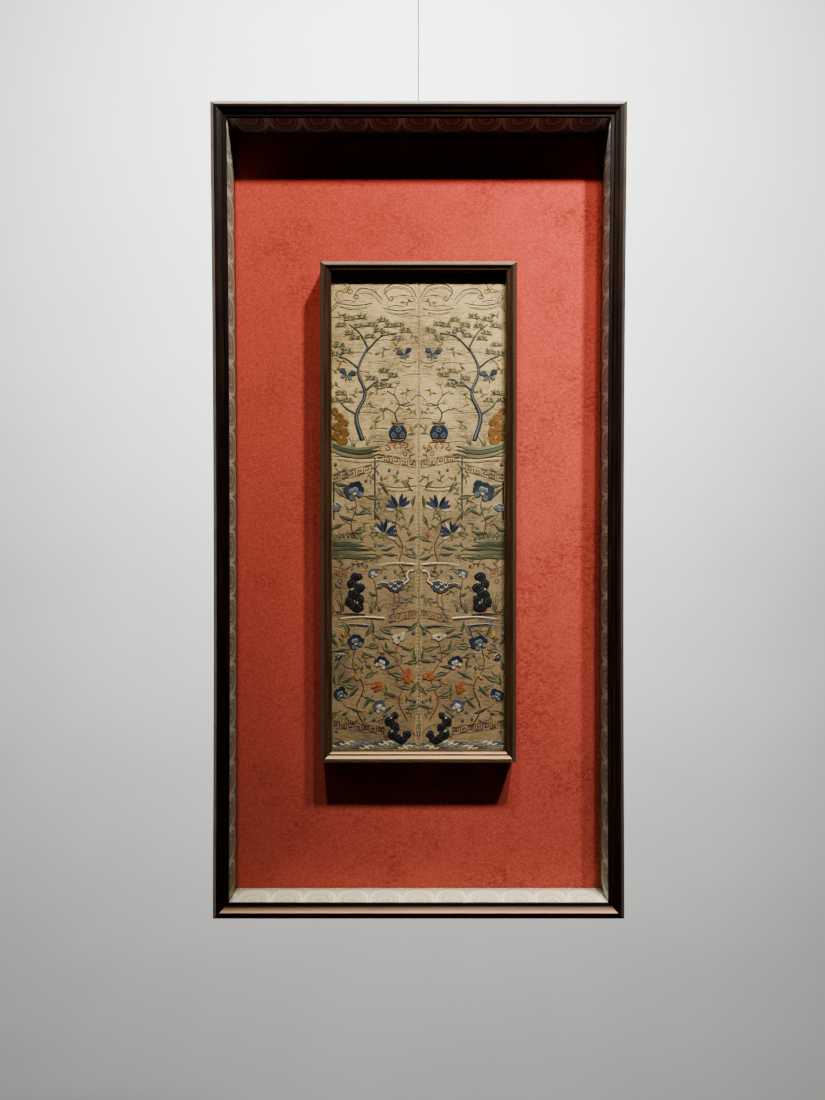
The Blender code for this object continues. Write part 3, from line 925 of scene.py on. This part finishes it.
def butterfly(work, x, z, size, turn):
    """Dark blue wings in two pairs, spread, with feelers and a slim body."""
    x, z, turn, size = work.wobble(x, z, turn, size)
    for way in (1, -1):
        upper = lens(size * 0.60, size * 0.34, 0.66, 0.7, way * 1.0)
        work.petal(upper, x, z, turn - way * 62, "navy", "blue", "pale blue", lift=0.8)
        lower = lens(size * 0.40, size * 0.26, 0.62, 0.7)
        work.petal(lower, x, z, turn - way * 118, "blue", "pale blue", "umber")
        feeler = [(size * 0.16, 0.0), (size * 0.34, way * size * 0.10), (size * 0.40, way * size * 0.22)]
        work.line(turned(feeler, x, z, turn), "umber", 0.5, 0.35)
    body = lens(size * 0.42, size * 0.11)
    work.patch(turned(body, x, z, turn + 180), "umber", "gold", "black", turn, lift=0.95)


def crane(work, x, z, size):
    """A grey bird on long legs, turned to the seam, its neck raised, feathers laid one over another."""
    x, z, _, size = work.wobble(x, z, 0.0, size)

    def at(points):
        return turned([(-u, v) for u, v in points], x, z, 0.0, size)

    for foot in (0.20, 0.32):
        leg = [(foot, -0.08), (foot + 0.03, -0.26), (foot - 0.01, -0.44), (foot + 0.07, -0.46)]
        work.line(at(leg), "russet", 1.4, 1.0)
    for index in range(5):
        foot = at([(0.14 + 0.03 * index, 0.10 - 0.05 * index)])[0]
        tone = "black" if index % 2 else "slate"
        work.petal(lens(size * 0.36, size * 0.10, 0.6), *foot, 9 * index + 2, tone, "grey", "ivory", edge=0.4)
    body = at([(0.02, 0.02), (0.12, -0.08), (0.28, -0.12), (0.44, -0.05), (0.52, 0.08), (0.46, 0.19),
               (0.30, 0.22), (0.14, 0.16)])
    work.patch(body, "grey", "slate", "ivory", 25.0, lift=0.8, edge=0.5)
    for index in range(9):
        u, v = 0.12 + 0.11 * (index % 3), -0.03 + 0.075 * (index // 3)
        scale = at([(u - 0.045, v + 0.03), (u, v - 0.015), (u + 0.045, v + 0.03)])
        work.line(scale, "ivory" if index % 2 else "navy", 1.1, raised=0.6)
    neck = at([(0.46, 0.10), (0.58, 0.20), (0.54, 0.32), (0.60, 0.43), (0.67, 0.46)])
    work.line(neck, "umber", 3.6, 2.4)
    work.line(neck, "ivory", 2.4, 1.5, raised=0.45)
    head, cap = at([(0.68, 0.465), (0.68, 0.505)])
    work.patch(turned(disc(size * 0.10, size * 0.08), *head), "ivory", "ivory", "umber", lift=1.0)
    work.patch(turned(disc(size * 0.05), *cap), "coral", lift=1.05)
    work.line(at([(0.72, 0.46), (0.84, 0.43)]), "umber", 1.5, 0.6, False)


def rock(work, x, z, lobes, holes, colour="black", seam="slate"):
    """A garden rock worn through by water: crowded knobs of satin stitch with thin seams and pale holes."""
    hand = work.hand
    for u, v, across, up, turn in lobes:
        bumps = [(a * hand.uniform(0.84, 1.16), b * hand.uniform(0.84, 1.16))
                 for a, b in disc(across * 1.04, up * 1.04, 11)]
        work.patch(turned(bumps, x + u, z + v, turn), colour, None, None, turn + 90,
                   lift=hand.uniform(0.6, 0.95), edge=0.6)
    for u, v, across, up, turn in lobes:
        curl = [(-0.34 * across, -0.1 * up), (0.0, 0.30 * up), (0.34 * across, -0.05 * up)]
        work.line(turned(curl, x + u, z + v, turn), seam, 1.0, 0.7, raised=0.8)
    for u, v, across in holes:
        hole = turned(disc(across, across * 1.35, 7), x + u, z + v, u * 9)
        work.patch(hole, "straw", "straw", "umber", lift=1.02, edge=0.3)


def fret_rail(work, start, end, height, colour, edge):
    """A low railing: two couched lines with a key fret between them."""
    run = Vector(end) - Vector(start)
    units = max(2, round(run.length / (height * 1.05)))
    step = run / units
    for up in (0.0, height):
        work.line([(start[0], start[1] + up), (end[0], end[1] + up)], edge, 0.8, curved=False)
    for index in range(units):
        origin = Vector(start) + step * index
        key = [(0.12, 0.16), (0.12, 0.84), (0.86, 0.84), (0.86, 0.36), (0.42, 0.36), (0.42, 0.60),
               (0.64, 0.60)]
        if index % 2:
            key = [(u, 1 - v) for u, v in key]
        points = [(origin.x + step.x * u, origin.y + step.y * u + height * v) for u, v in key]
        work.line(points, colour, 1.15, curved=False)


def vase_of_plum(work, x, z, size):
    """A dark blue vase with pale scrolls on a curled stand, and a flowering branch in it."""
    def at(*points):
        return turned(points, x, z, 0.0, size)

    profile = [(0.28, 0.14), (0.32, 0.32), (0.23, 0.50), (0.13, 0.58), (0.24, 0.68)]
    pot = [(-0.20, 0.0), (0.20, 0.0), *profile, *((-u, v) for u, v in profile[::-1])]
    work.patch(at(*pot), "navy", "blue", "black", 90.0, lift=0.85, edge=0.6)
    for u, v, way in ((-0.13, 0.20, 1), (0.13, 0.20, -1), (0.0, 0.40, 1)):
        spiral(work, x + u * size, z + v * size, size * 0.10, 1.3, 90, "pale blue", 0.9, way, 0.75)
    for up, half in ((0.05, 0.22), (0.56, 0.13), (0.64, 0.21)):
        work.line(at((-half, up), (0.0, up - 0.02), (half, up)), "gold", 1.0, raised=0.75)
    for way in (1, -1):
        leg = ((0.06, -0.03), (0.30, -0.04), (0.34, -0.16), (0.24, -0.24), (0.36, -0.30), (0.42, -0.22))
        brace = ((0.04, -0.05), (0.14, -0.16), (0.06, -0.26))
        for points, width in ((leg, 1.4), (brace, 1.2)):
            work.line(at(*((way * u, v) for u, v in points)), "russet", width)
    work.line(at((0.0, 0.62), (0.10, 0.95), (-0.06, 1.25), (0.12, 1.60), (0.02, 1.95)), "umber", 2.0, 0.8)
    for arm in (((0.08, 0.95), (0.40, 1.12), (0.72, 1.10), (0.98, 1.28)),
                ((-0.04, 1.22), (-0.38, 1.34), (-0.66, 1.60)), ((0.10, 1.56), (0.42, 1.76), (0.58, 2.02))):
        work.line(at(*arm), "umber", 1.5, 0.8)
    places = at((0.42, 1.18), (0.74, 1.06), (1.00, 1.36), (-0.36, 1.42), (-0.70, 1.66), (0.04, 2.02),
                (0.44, 1.70), (0.64, 2.10), (0.20, 1.36), (-0.22, 1.08))
    for index, place in enumerate(places):
        tone = ("ivory", "pale blue", "pale green")[index % 3]
        blossom(work, *place, size * 0.25, 5, tone, "ivory", "sage", "gold" if index % 3 else "russet")


def water(work, rows, start, end):
    """Small waves in pale blue and ivory."""
    wave_length = 11
    wave_rise = 2.3
    wave = ((0, 1.6), (3.4, 3.4), (7.0, 1.9), (11.0, 3.2))
    for row in range(rows):
        for x in range(start, end, wave_length):
            tone = ("pale blue", "ivory", "slate", "pale blue")[(row + x // wave_length) % 4]
            at = x + wave_length / 2 * (row % 2)
            work.line([(min(at + u, end), v + row * wave_rise) for u, v in wave], tone, 1.5, 0.9)


def sprig(work, x, z, turn, size, tones):
    """A short brown stem with three small leaves, or a bud at its end."""
    stem = [(-size * 0.55, 0.0), (0.0, size * 0.12), (size * 0.5, 0.0)]
    work.line(turned(stem, x, z, turn), "umber", 1.0, 0.6)
    tips = {"sage": "pale green", "blue": "pale blue", "ochre": "gold", "coral": "gold"}
    for share, lean, tone in zip((-0.25, 0.1, 0.45), (48, -52, 8), tones):
        foot = turned([(size * share, size * 0.06)], x, z, turn)[0]
        outline = lens(size * 0.62, size * 0.25, 0.5, 1.0, 0.0, 4)
        work.petal(outline, *foot, turn + lean, tone, tips.get(tone, "sage"), "umber", lift=0.55)


def fill_between(work):
    """Small sprigs, curls and ripples in the places that the motifs leave bare, thicker towards the foot."""
    layout = random.Random(41)
    sky_from = 345
    column_step, row_step = 6.9, 6.3
    for row in range(80):
        for column in range(14):
            x = 3.5 + column * column_step + layout.uniform(-2.2, 2.2)
            z = 22 + row * row_step + layout.uniform(-2.0, 2.0)
            kind = layout.random()
            turn = layout.uniform(0, 360)
            size = layout.uniform(8.5, 12.0)
            likely = 0.98 if z < sky_from else 0.55
            if layout.random() > likely or not work.free(x, z, 2.7) or not 4 < x < 94 or z > 520:
                continue
            if z > sky_from:
                if kind < 0.45:
                    sprig(work, x, z, turn, size, ("sage", "ochre", "sage"))
                else:
                    reach = size * 1.1
                    work.line([(x - reach, z), (x, z + 1.4), (x + reach, z - 0.6)], "umber", 0.9, 0.6)
                    work.line([(x - reach, z - 1.9), (x, z - 0.5), (x + reach, z - 2.5)], "ivory", 0.9, 0.5)
            elif kind < 0.50:
                sprig(work, x, z, turn, size, ("sage", "sage", "blue"))
            elif kind < 0.68:
                sprig(work, x, z, turn, size, ("sage", "olive", "coral"))
            elif kind < 0.80:
                sprig(work, x, z, turn, size, ("dark sage", "sage", "ochre"))
            elif kind < 0.90:
                spiral(work, x, z, 3.4, 1.2, turn, "umber", 1.0)
            else:
                work.petal(disc(4.2, 3.4, 7), x, z, turn, "slate", "pale blue", "umber", lift=0.8)


def whip_seam(work):
    """Fine pale whipping stitches that join the bands down the middle, and a straw thread beside them."""
    for index in range(134):
        z = 2 + index * 4.0
        work.line([(0.2, z), (1.3, z + 1.6)], "ivory" if index % 3 else "straw", 0.7, curved=False)
    for low in range(0, 530, 44):
        work.line([(2.6, low + 3), (2.9, low + 22), (2.5, low + 40)], "straw", 0.7)


def each(motif, work, *places):
    """Sews one motif at many places; each place is all that the motif asks for."""
    for place in places:
        motif(work, *place)


def sew_garden(work):
    """The whole garden on one band, from the clouds at the top down to the water."""
    cloud(work, [(2, 512), (10, 524), (27, 527), (38, 520), (34, 511)])
    cloud(work, [(40, 509), (52, 520), (66, 521), (73, 513)])
    cloud(work, [(97, 530), (86, 533), (77, 526), (80, 519)])
    cloud(work, [(97, 500), (90, 508), (93, 516), (86, 520)], "ochre")
    for z, start, end in ((499, 4, 40), (505, 52, 93), (333, 30, 96), (300, 2, 44), (392, 4, 26),
                          (440, 2, 22)):
        middle = (start + end) / 2
        work.line([(start, z), (middle, z - 2.2), (end, z + 0.8)], "umber", 1.0)
        work.line([(start + 3, z - 2.6), (middle, z - 4.8), (end - 2, z - 1.8)], "ivory", 1.1)
        work.line([(start + 6, z - 5), (middle, z - 7), (end - 5, z - 4.2)], "umber", 0.8)

    # The pine on the outer side, with its slate trunk.
    trunk = [(63, 352), (70, 378), (60, 404), (68, 430), (57, 456)]
    work.line(trunk, "slate", 6.0, 2.4)
    for shift, tone in ((-2.1, "navy"), (-0.4, "pale blue"), (1.2, "blue")):
        beside = [(x + shift * (1 - 0.6 * index / 4), z) for index, (x, z) in enumerate(trunk)]
        work.line(beside, tone, 1.4, 0.7, raised=0.55)
    for arm in ([(61, 406), (46, 418), (33, 420)], [(67, 432), (80, 442), (90, 446)],
                [(58, 452), (42, 468), (24, 472)], [(69, 380), (82, 388), (90, 398)],
                [(57, 456), (66, 472), (78, 482)]):
        work.line(arm, "slate", 2.6, 1.2)
        work.line([(x, z - 0.5) for x, z in arm], "navy", 0.9, 0.6, raised=0.4)
    for x, z in ((28, 424), (38, 429), (45, 414), (35, 413), (14, 474), (22, 482), (31, 480), (41, 486),
                 (45, 475), (54, 469), (52, 482), (67, 480), (76, 488), (86, 480), (77, 472), (88, 458),
                 (93, 449), (80, 451), (87, 404), (94, 396), (79, 397), (63, 490), (23, 467), (36, 470),
                 (70, 466), (53, 421)):
        pine_tuft(work, x, z, 14.0)

    each(butterfly, work, (80, 424, 19, 100), (15, 448, 18, 78))
    knobs = ((0, 0, 14, 12, 0), (7, 5, 9, 11, 20), (-3, 9, 10, 11, 0), (5, 15, 12, 11, 40), (-3, 20, 9, 9, 0),
             (3, 26, 11, 10, 10), (8, 33, 8, 9, 0))
    rock(work, 86, 351, knobs, ((1, 3, 2.4), (6, 21, 2.2), (-2, 15, 1.8)), "amber", "russet")
    each(blades, work, (74, 342, 17, 4, -0.2), (95, 340, 15, 3, -0.5), (58, 346, 14, 3, -0.4, "olive"))

    vase_of_plum(work, 23, 350, 33)
    for low, tone, tip in ((341, "pale green", "sage"), (336.5, "sage", "dark sage"),
                           (332, "pale green", "olive")):
        bank = [(42, low + 4), (54, low - 0.5), (68, low - 2), (84, low + 1), (97, low + 6), (97, low + 10),
                (84, low + 5), (68, low + 2), (54, low + 3.5)]
        work.patch(bank, tone, tip, "umber", 150.0, lift=0.6, edge=0.5)
    each(fret_rail, work, ((2, 320), (46, 328), 8.5, "black", "russet"),
         ((52, 316), (96, 304), 8.5, "umber", "umber"))
    for x, low, high in ((49, 262, 332), (95.5, 262, 304)):
        work.line([(x, low), (x, high)], "black", 1.8, curved=False)

    # Big dark flowers and spiky ones above a green bank.
    work.line([(70, 236), (76, 256), (70, 276), (74, 292)], "umber", 1.4, 0.8)
    work.line([(76, 256), (86, 262), (92, 272)], "umber", 1.0, 0.6)
    double_blossom(work, 71, 291, 27)
    blossom(work, 91, 276, 15, 5, "blue", "pale blue", "ivory", "gold")
    each(leaf, work, (73, 262, 20), (68, 268, 150), (80, 300, 10), (58, 288, 190), (64, 276, 220),
         (86, 256, -30), (74, 246, 165), (84, 288, 40))
    each(spiky_flower, work, (22, 274, 30, 80), (38, 246, 27, 118))
    work.line([(22, 274), (26, 252), (18, 232), (22, 214)], "umber", 1.2)
    work.line([(38, 246), (28, 238), (20, 230)], "umber", 1.0)
    for x, z, turn in ((10, 256, 110), (26, 258, 30), (12, 238, 160), (30, 230, -10), (44, 262, 60),
                       (6, 276, 100), (34, 292, 70), (8, 296, 40), (14, 222, 200), (26, 222, 10)):
        leaf(work, x, z, turn, 14.0, 4.4)
    blossom(work, 10, 246, 8, 5, "ochre", "coral", "umber", "gold")
    for index, tone in enumerate(("pale green", "sage", "dark sage", "pale green", "sage")):
        low = 236 - 4.6 * index
        shore = 62 - 5.5 * index + 3.0 * (index % 2)
        bank = [(shore, low + 1), (70, low - 1.0), (80, low + 0.4), (90, low - 0.8), (97, low),
                (97, low + 4.2), (89, low + 3.0), (80, low + 4.6), (70, low + 3.4)]
        work.patch(bank, tone, "dark sage" if index % 2 else "sage", "umber", 70.0, lift=0.55, edge=0.4)
    for index in range(7):
        blades(work, 64 + index * 5.0, 241 - abs(3 - index), 8, 3, 0.1, "olive")

    # The crane by the black rock.
    crane(work, 37, 184, 44)
    knobs = ((0, 0, 16, 12, 0), (8, 6, 10, 12, 20), (-4, 8, 10, 11, 0), (3, 15, 14, 12, -10),
             (-4, 22, 11, 11, 10), (5, 26, 10, 12, 30), (0, 34, 13, 10, 0))
    rock(work, 70, 163, knobs, ((-1, 5, 2.2), (5, 20, 2.4), (-3, 28, 2.0)))
    each(blades, work, (86, 158, 24, 5, 0.1), (54, 156, 18, 4, -0.3, "olive"), (44, 158, 12, 3, 0.0))
    each(fret_rail, work, ((80, 196), (97, 200), 9.0, "russet", "russet"),
         ((2, 151), (34, 145), 8.5, "russet", "umber"))
    for z, start, end, tone in ((150, 38, 92, "ivory"), (140, 4, 40, "slate"), (211, 4, 46, "ivory"),
                                (142, 56, 96, "pale blue"), (154, 60, 97, "umber")):
        middle = (start + end) / 2
        work.line([(start, z), (middle, z + 1.6), (end, z - 0.8)], tone, 2.6, 0.8)
        work.line([(start + 2, z - 2), (middle, z - 0.4), (end - 6, z - 2.6)], "umber", 0.9, 0.6)
    double_blossom(work, 50, 199, 13, ("blue", "pale blue", "ivory"))
    work.line([(50, 193), (47, 176), (49, 160)], "umber", 1.1)
    each(leaf, work, (48, 176, 30, 9.0), (48, 184, 150, 9.0))

    # The flowering sprays of the lower third.
    work.line([(12, 34), (22, 56), (14, 82), (26, 106), (20, 132)], "russet", 1.7, 1.0)
    work.line([(60, 26), (70, 48), (62, 72), (74, 96), (70, 124)], "umber", 1.7, 1.0)
    for arm in ([(16, 84), (30, 86), (40, 96)], [(20, 58), (34, 60), (42, 52)],
                [(24, 104), (36, 112), (44, 124)], [(64, 74), (52, 76), (46, 70)],
                [(70, 92), (84, 96), (90, 104)], [(68, 46), (82, 50), (88, 58)]):
        work.line(arm, "russet", 1.3, 0.7)
    blossom(work, 22, 128, 19, 6, "pale green", "ivory", "sage", "umber")
    each(double_blossom, work, (70, 120, 24), (42, 98, 21, ("navy", "blue", "ivory")))
    each(blossom, work, (12, 84, 20, 7, "coral", "ochre", "russet", "olive", 60),
         (47, 72, 18, 8, "amber", "coral", "russet", "sage", 30))
    each(double_blossom, work, (88, 62, 19), (44, 48, 17, ("blue", "pale blue", "ivory")))
    each(blossom, work, (90, 106, 13, 5, "navy", "blue", "ivory", "gold"),
         (84, 132, 10, 5, "gold", "ochre", "umber", "ivory"),
         (70, 84, 9, 4, "ochre", "gold", "umber", "ivory", 40),
         (8, 118, 8, 4, "ochre", "gold", "umber", "ivory", 50))
    each(leaf, work, (20, 118, 200), (26, 112, 20), (30, 132, 30), (12, 136, 140), (14, 100, 170),
         (26, 96, -10), (34, 112, 70), (50, 106, 20), (48, 88, -30), (32, 88, 200), (22, 72, 190),
         (24, 62, 20), (8, 66, 130), (30, 50, -40), (12, 48, 170), (36, 62, 80), (54, 60, -50),
         (62, 60, 200), (70, 70, 20), (76, 84, -20), (80, 114, -10), (58, 118, 170), (60, 130, 120),
         (78, 132, 60), (84, 88, -60), (96, 92, 110), (76, 48, 200), (78, 62, 130), (90, 44, -30),
         (94, 74, 100), (54, 92, 60), (36, 128, 20), (4, 100, 80), (50, 134, 80), (92, 120, 60))
    for x, z, tone in ((38, 40, "slate"), (50, 36, "blue"), (54, 44, "slate"), (30, 40, "blue"),
                       (4, 56, "blue"), (58, 98, "coral"), (6, 134, "blue"), (96, 132, "slate")):
        berry = turned(disc(4.6), *work.wobble(x, z)[:2])
        work.patch(berry, tone, "pale blue", "umber", 60.0, lift=0.9)
    knobs = ((0, 0, 15, 11, 0), (-7, 5, 9, 9, 0), (9, 5, 12, 11, 20), (6, 13, 10, 11, 0),
             (12, 20, 11, 12, 30), (7, 27, 9, 8, 0))
    rock(work, 20, 13, knobs, ((-1, 4, 2.2), (10, 9, 2.4), (11, 24, 2.2)))
    fret_rail(work, (38, 18), (97, 26), 8.5, "black", "russet")
    each(blades, work, (36, 14, 15, 3, 0.2), (2, 16, 18, 2, 0.5, "olive"))
    water(work, 4, 1, 96)
    fill_between(work)
    whip_seam(work)


strand_repeat = 0.5 * MM
silk_thread, thread_tree, thread_inputs = principled("silk thread", (0.2, 0.2, 0.2), 0.5)
thread_layer, stitch_layer = (make(thread_tree, "Attribute", {}, attribute_name=name)
                              for name in ("thread", "stitch"))
thread_colour = Output(thread_tree, thread_layer.outputs["Color"])
stitch_run = Output(thread_tree, stitch_layer.outputs["Vector"])
strand = sine_of(axis(stitch_run, "X"), strand_repeat)
fibres = noise_node(mapped(stitch_run, (1.0, 0.12, 1.0)), 800.0, 4.0, 0.65)
# The strand wave darkens the grooves between stitches as painted shade; the fibre noise is the threads' own
# uneven tone.
thread_tone_and_groove_shade = ramp_node(strand * 0.10 + (fibres * 1.7 + 0.15), (0.0, 0.0), (1.0, 1.0))
put(thread_inputs, {
    "Base Color": mixed(1.0, thread_colour, thread_tone_and_groove_shade, "MULTIPLY"),
    "Specular IOR Level": 0.3,
    "Sheen Weight": 0.1,
})
bumped(thread_inputs, strand * 0.5 + fibres, 0.6, 0.12 * MM)

for side, way, seed in (("left", -1, 11), ("right", 1, 23)):
    work = Needlework(side, way, seed)
    sew_garden(work)
    embroidery = work.finish(silk_thread)


# The stage: a pale sweep under and behind the box, its colour darkened near the floor as painted shade. Four
# small spot lamps stand high in front, a soft lamp lights the backdrop, and the sky is dim for light and pale
# to the camera.
floor_z = box_low[2] - 1.35
sweep_half = 6.0
sweep_foot = 1.4
sweep_radius = 1.6
sweep_steps = 16
sweep_top = floor_z + 6.0
stage_tone, stage_tree, stage_inputs = principled("stage", (0.72, 0.71, 0.69), 0.9)
stage_place = coordinate(stage_tree)
stage_up = spread(axis(stage_place, "Z"), floor_z, floor_z + 2.6)
stage_pale = ramp_node(noise_node(stage_place, 3.0), (0.3, (0.70, 0.70, 0.69)), (0.7, (0.74, 0.74, 0.73)))
# Painted shade: the stage colour is darkened towards the floor.
stage_painted_shade = ramp_node(stage_up, (0.0, 0.20), (0.3, 0.41), (0.6, 0.72), (1.0, 1.0))
put(stage_inputs, {"Base Color": mixed(1.0, stage_pale, stage_painted_shade, "MULTIPLY")})

sweep_bm = bmesh.new()
sweep_profile = [(-sweep_half, floor_z), (sweep_foot, floor_z)]
for step in range(1, sweep_steps + 1):
    angle = math.radians(90) * step / sweep_steps
    sweep_profile.append((sweep_foot + sweep_radius * math.sin(angle),
                          floor_z + sweep_radius * (1 - math.cos(angle))))
sweep_profile.append((sweep_foot + sweep_radius, sweep_top))
sweep_verts = [sweep_bm.verts.new((-sweep_half, y, z)) for y, z in sweep_profile]
sweep_edges = [sweep_bm.edges.new(pair) for pair in zip(sweep_verts, sweep_verts[1:])]
for vert in filter(is_vert, bmesh.ops.extrude_edge_only(sweep_bm, edges=sweep_edges)["geom"]):
    vert.co.x = sweep_half
sweep_mesh = bpy.data.meshes.new("stage_sweep")
sweep_bm.to_mesh(sweep_mesh)
sweep_bm.free()
sweep_mesh.materials.append(stage_tone)
sweep_mesh.shade_smooth()
sweep = bpy.data.objects.new("stage_sweep", sweep_mesh)
bpy.context.scene.collection.objects.link(sweep)
sweep.visible_diffuse = False
sweep.visible_glossy = False


def aimed(name, light, place, target):
    lamp = bpy.data.objects.new(name, light)
    lamp.location = place
    lamp.rotation_euler = (Vector(target) - Vector(place)).to_track_quat("-Z", "Y").to_euler()
    bpy.context.scene.collection.objects.link(lamp)


lamp_y = front_y - 1.18
lamp_z = camera.location.z + 2.29
for name, x, aim_x, aim_z, cone, power, soft in (
    ("lamp_left", -1.94, -0.57, 0.290, 32.5, 16.0, 0.075),
    ("lamp_middle", -0.28, -0.229, 0.996, 59.5, 205.0, 0.075),
    ("lamp_right", 0.44, 0.291, -0.145, 21.8, 415.0, 0.075),
    ("lamp_far_right", 0.93, 0.607, 1.266, 60.0, 1240.0, 0.09),
):
    spot = bpy.data.lights.new(name, "SPOT")
    spot.energy = power
    spot.spot_size = math.radians(cone)
    spot.spot_blend = 1.0
    spot.shadow_soft_size = soft
    spot.color = (1.0, 0.93, 0.84)
    aimed(name, spot, (x, lamp_y, lamp_z), (aim_x, front_y, box_middle + aim_z))
backdrop = bpy.data.lights.new("lamp_backdrop", "AREA")
backdrop.energy = 420.0
backdrop.size = 2.2
aimed("lamp_backdrop", backdrop, (0.0, 1.0, box_middle + 2.3), (0.0, 3.0, box_middle + 0.9))

world = bpy.data.worlds.new("sky")
world.use_nodes = True
sky = world.node_tree
sky_dim = sky.nodes["Background"]
from_behind = spread(axis(coordinate(sky, "Generated"), "Y"), 0.25, 0.9, 0.004, 0.6)
put(sky_dim.inputs, {"Color": (0.90, 0.92, 0.95), "Strength": from_behind})
sky_pale = make(sky, "Background", {"Color": (0.80, 0.81, 0.82), "Strength": 0.75})
to_light, to_camera = (Output(sky, node.outputs["Background"]) for node in (sky_dim, sky_pale))
seen = Output(sky, make(sky, "LightPath", {}).outputs["Is Camera Ray"])
either = make(sky, "MixShader", {0: seen, 1: to_light, 2: to_camera})
put(sky.nodes["World Output"].inputs, {"Surface": Output(sky, either.outputs["Shader"])})
bpy.context.scene.world = world
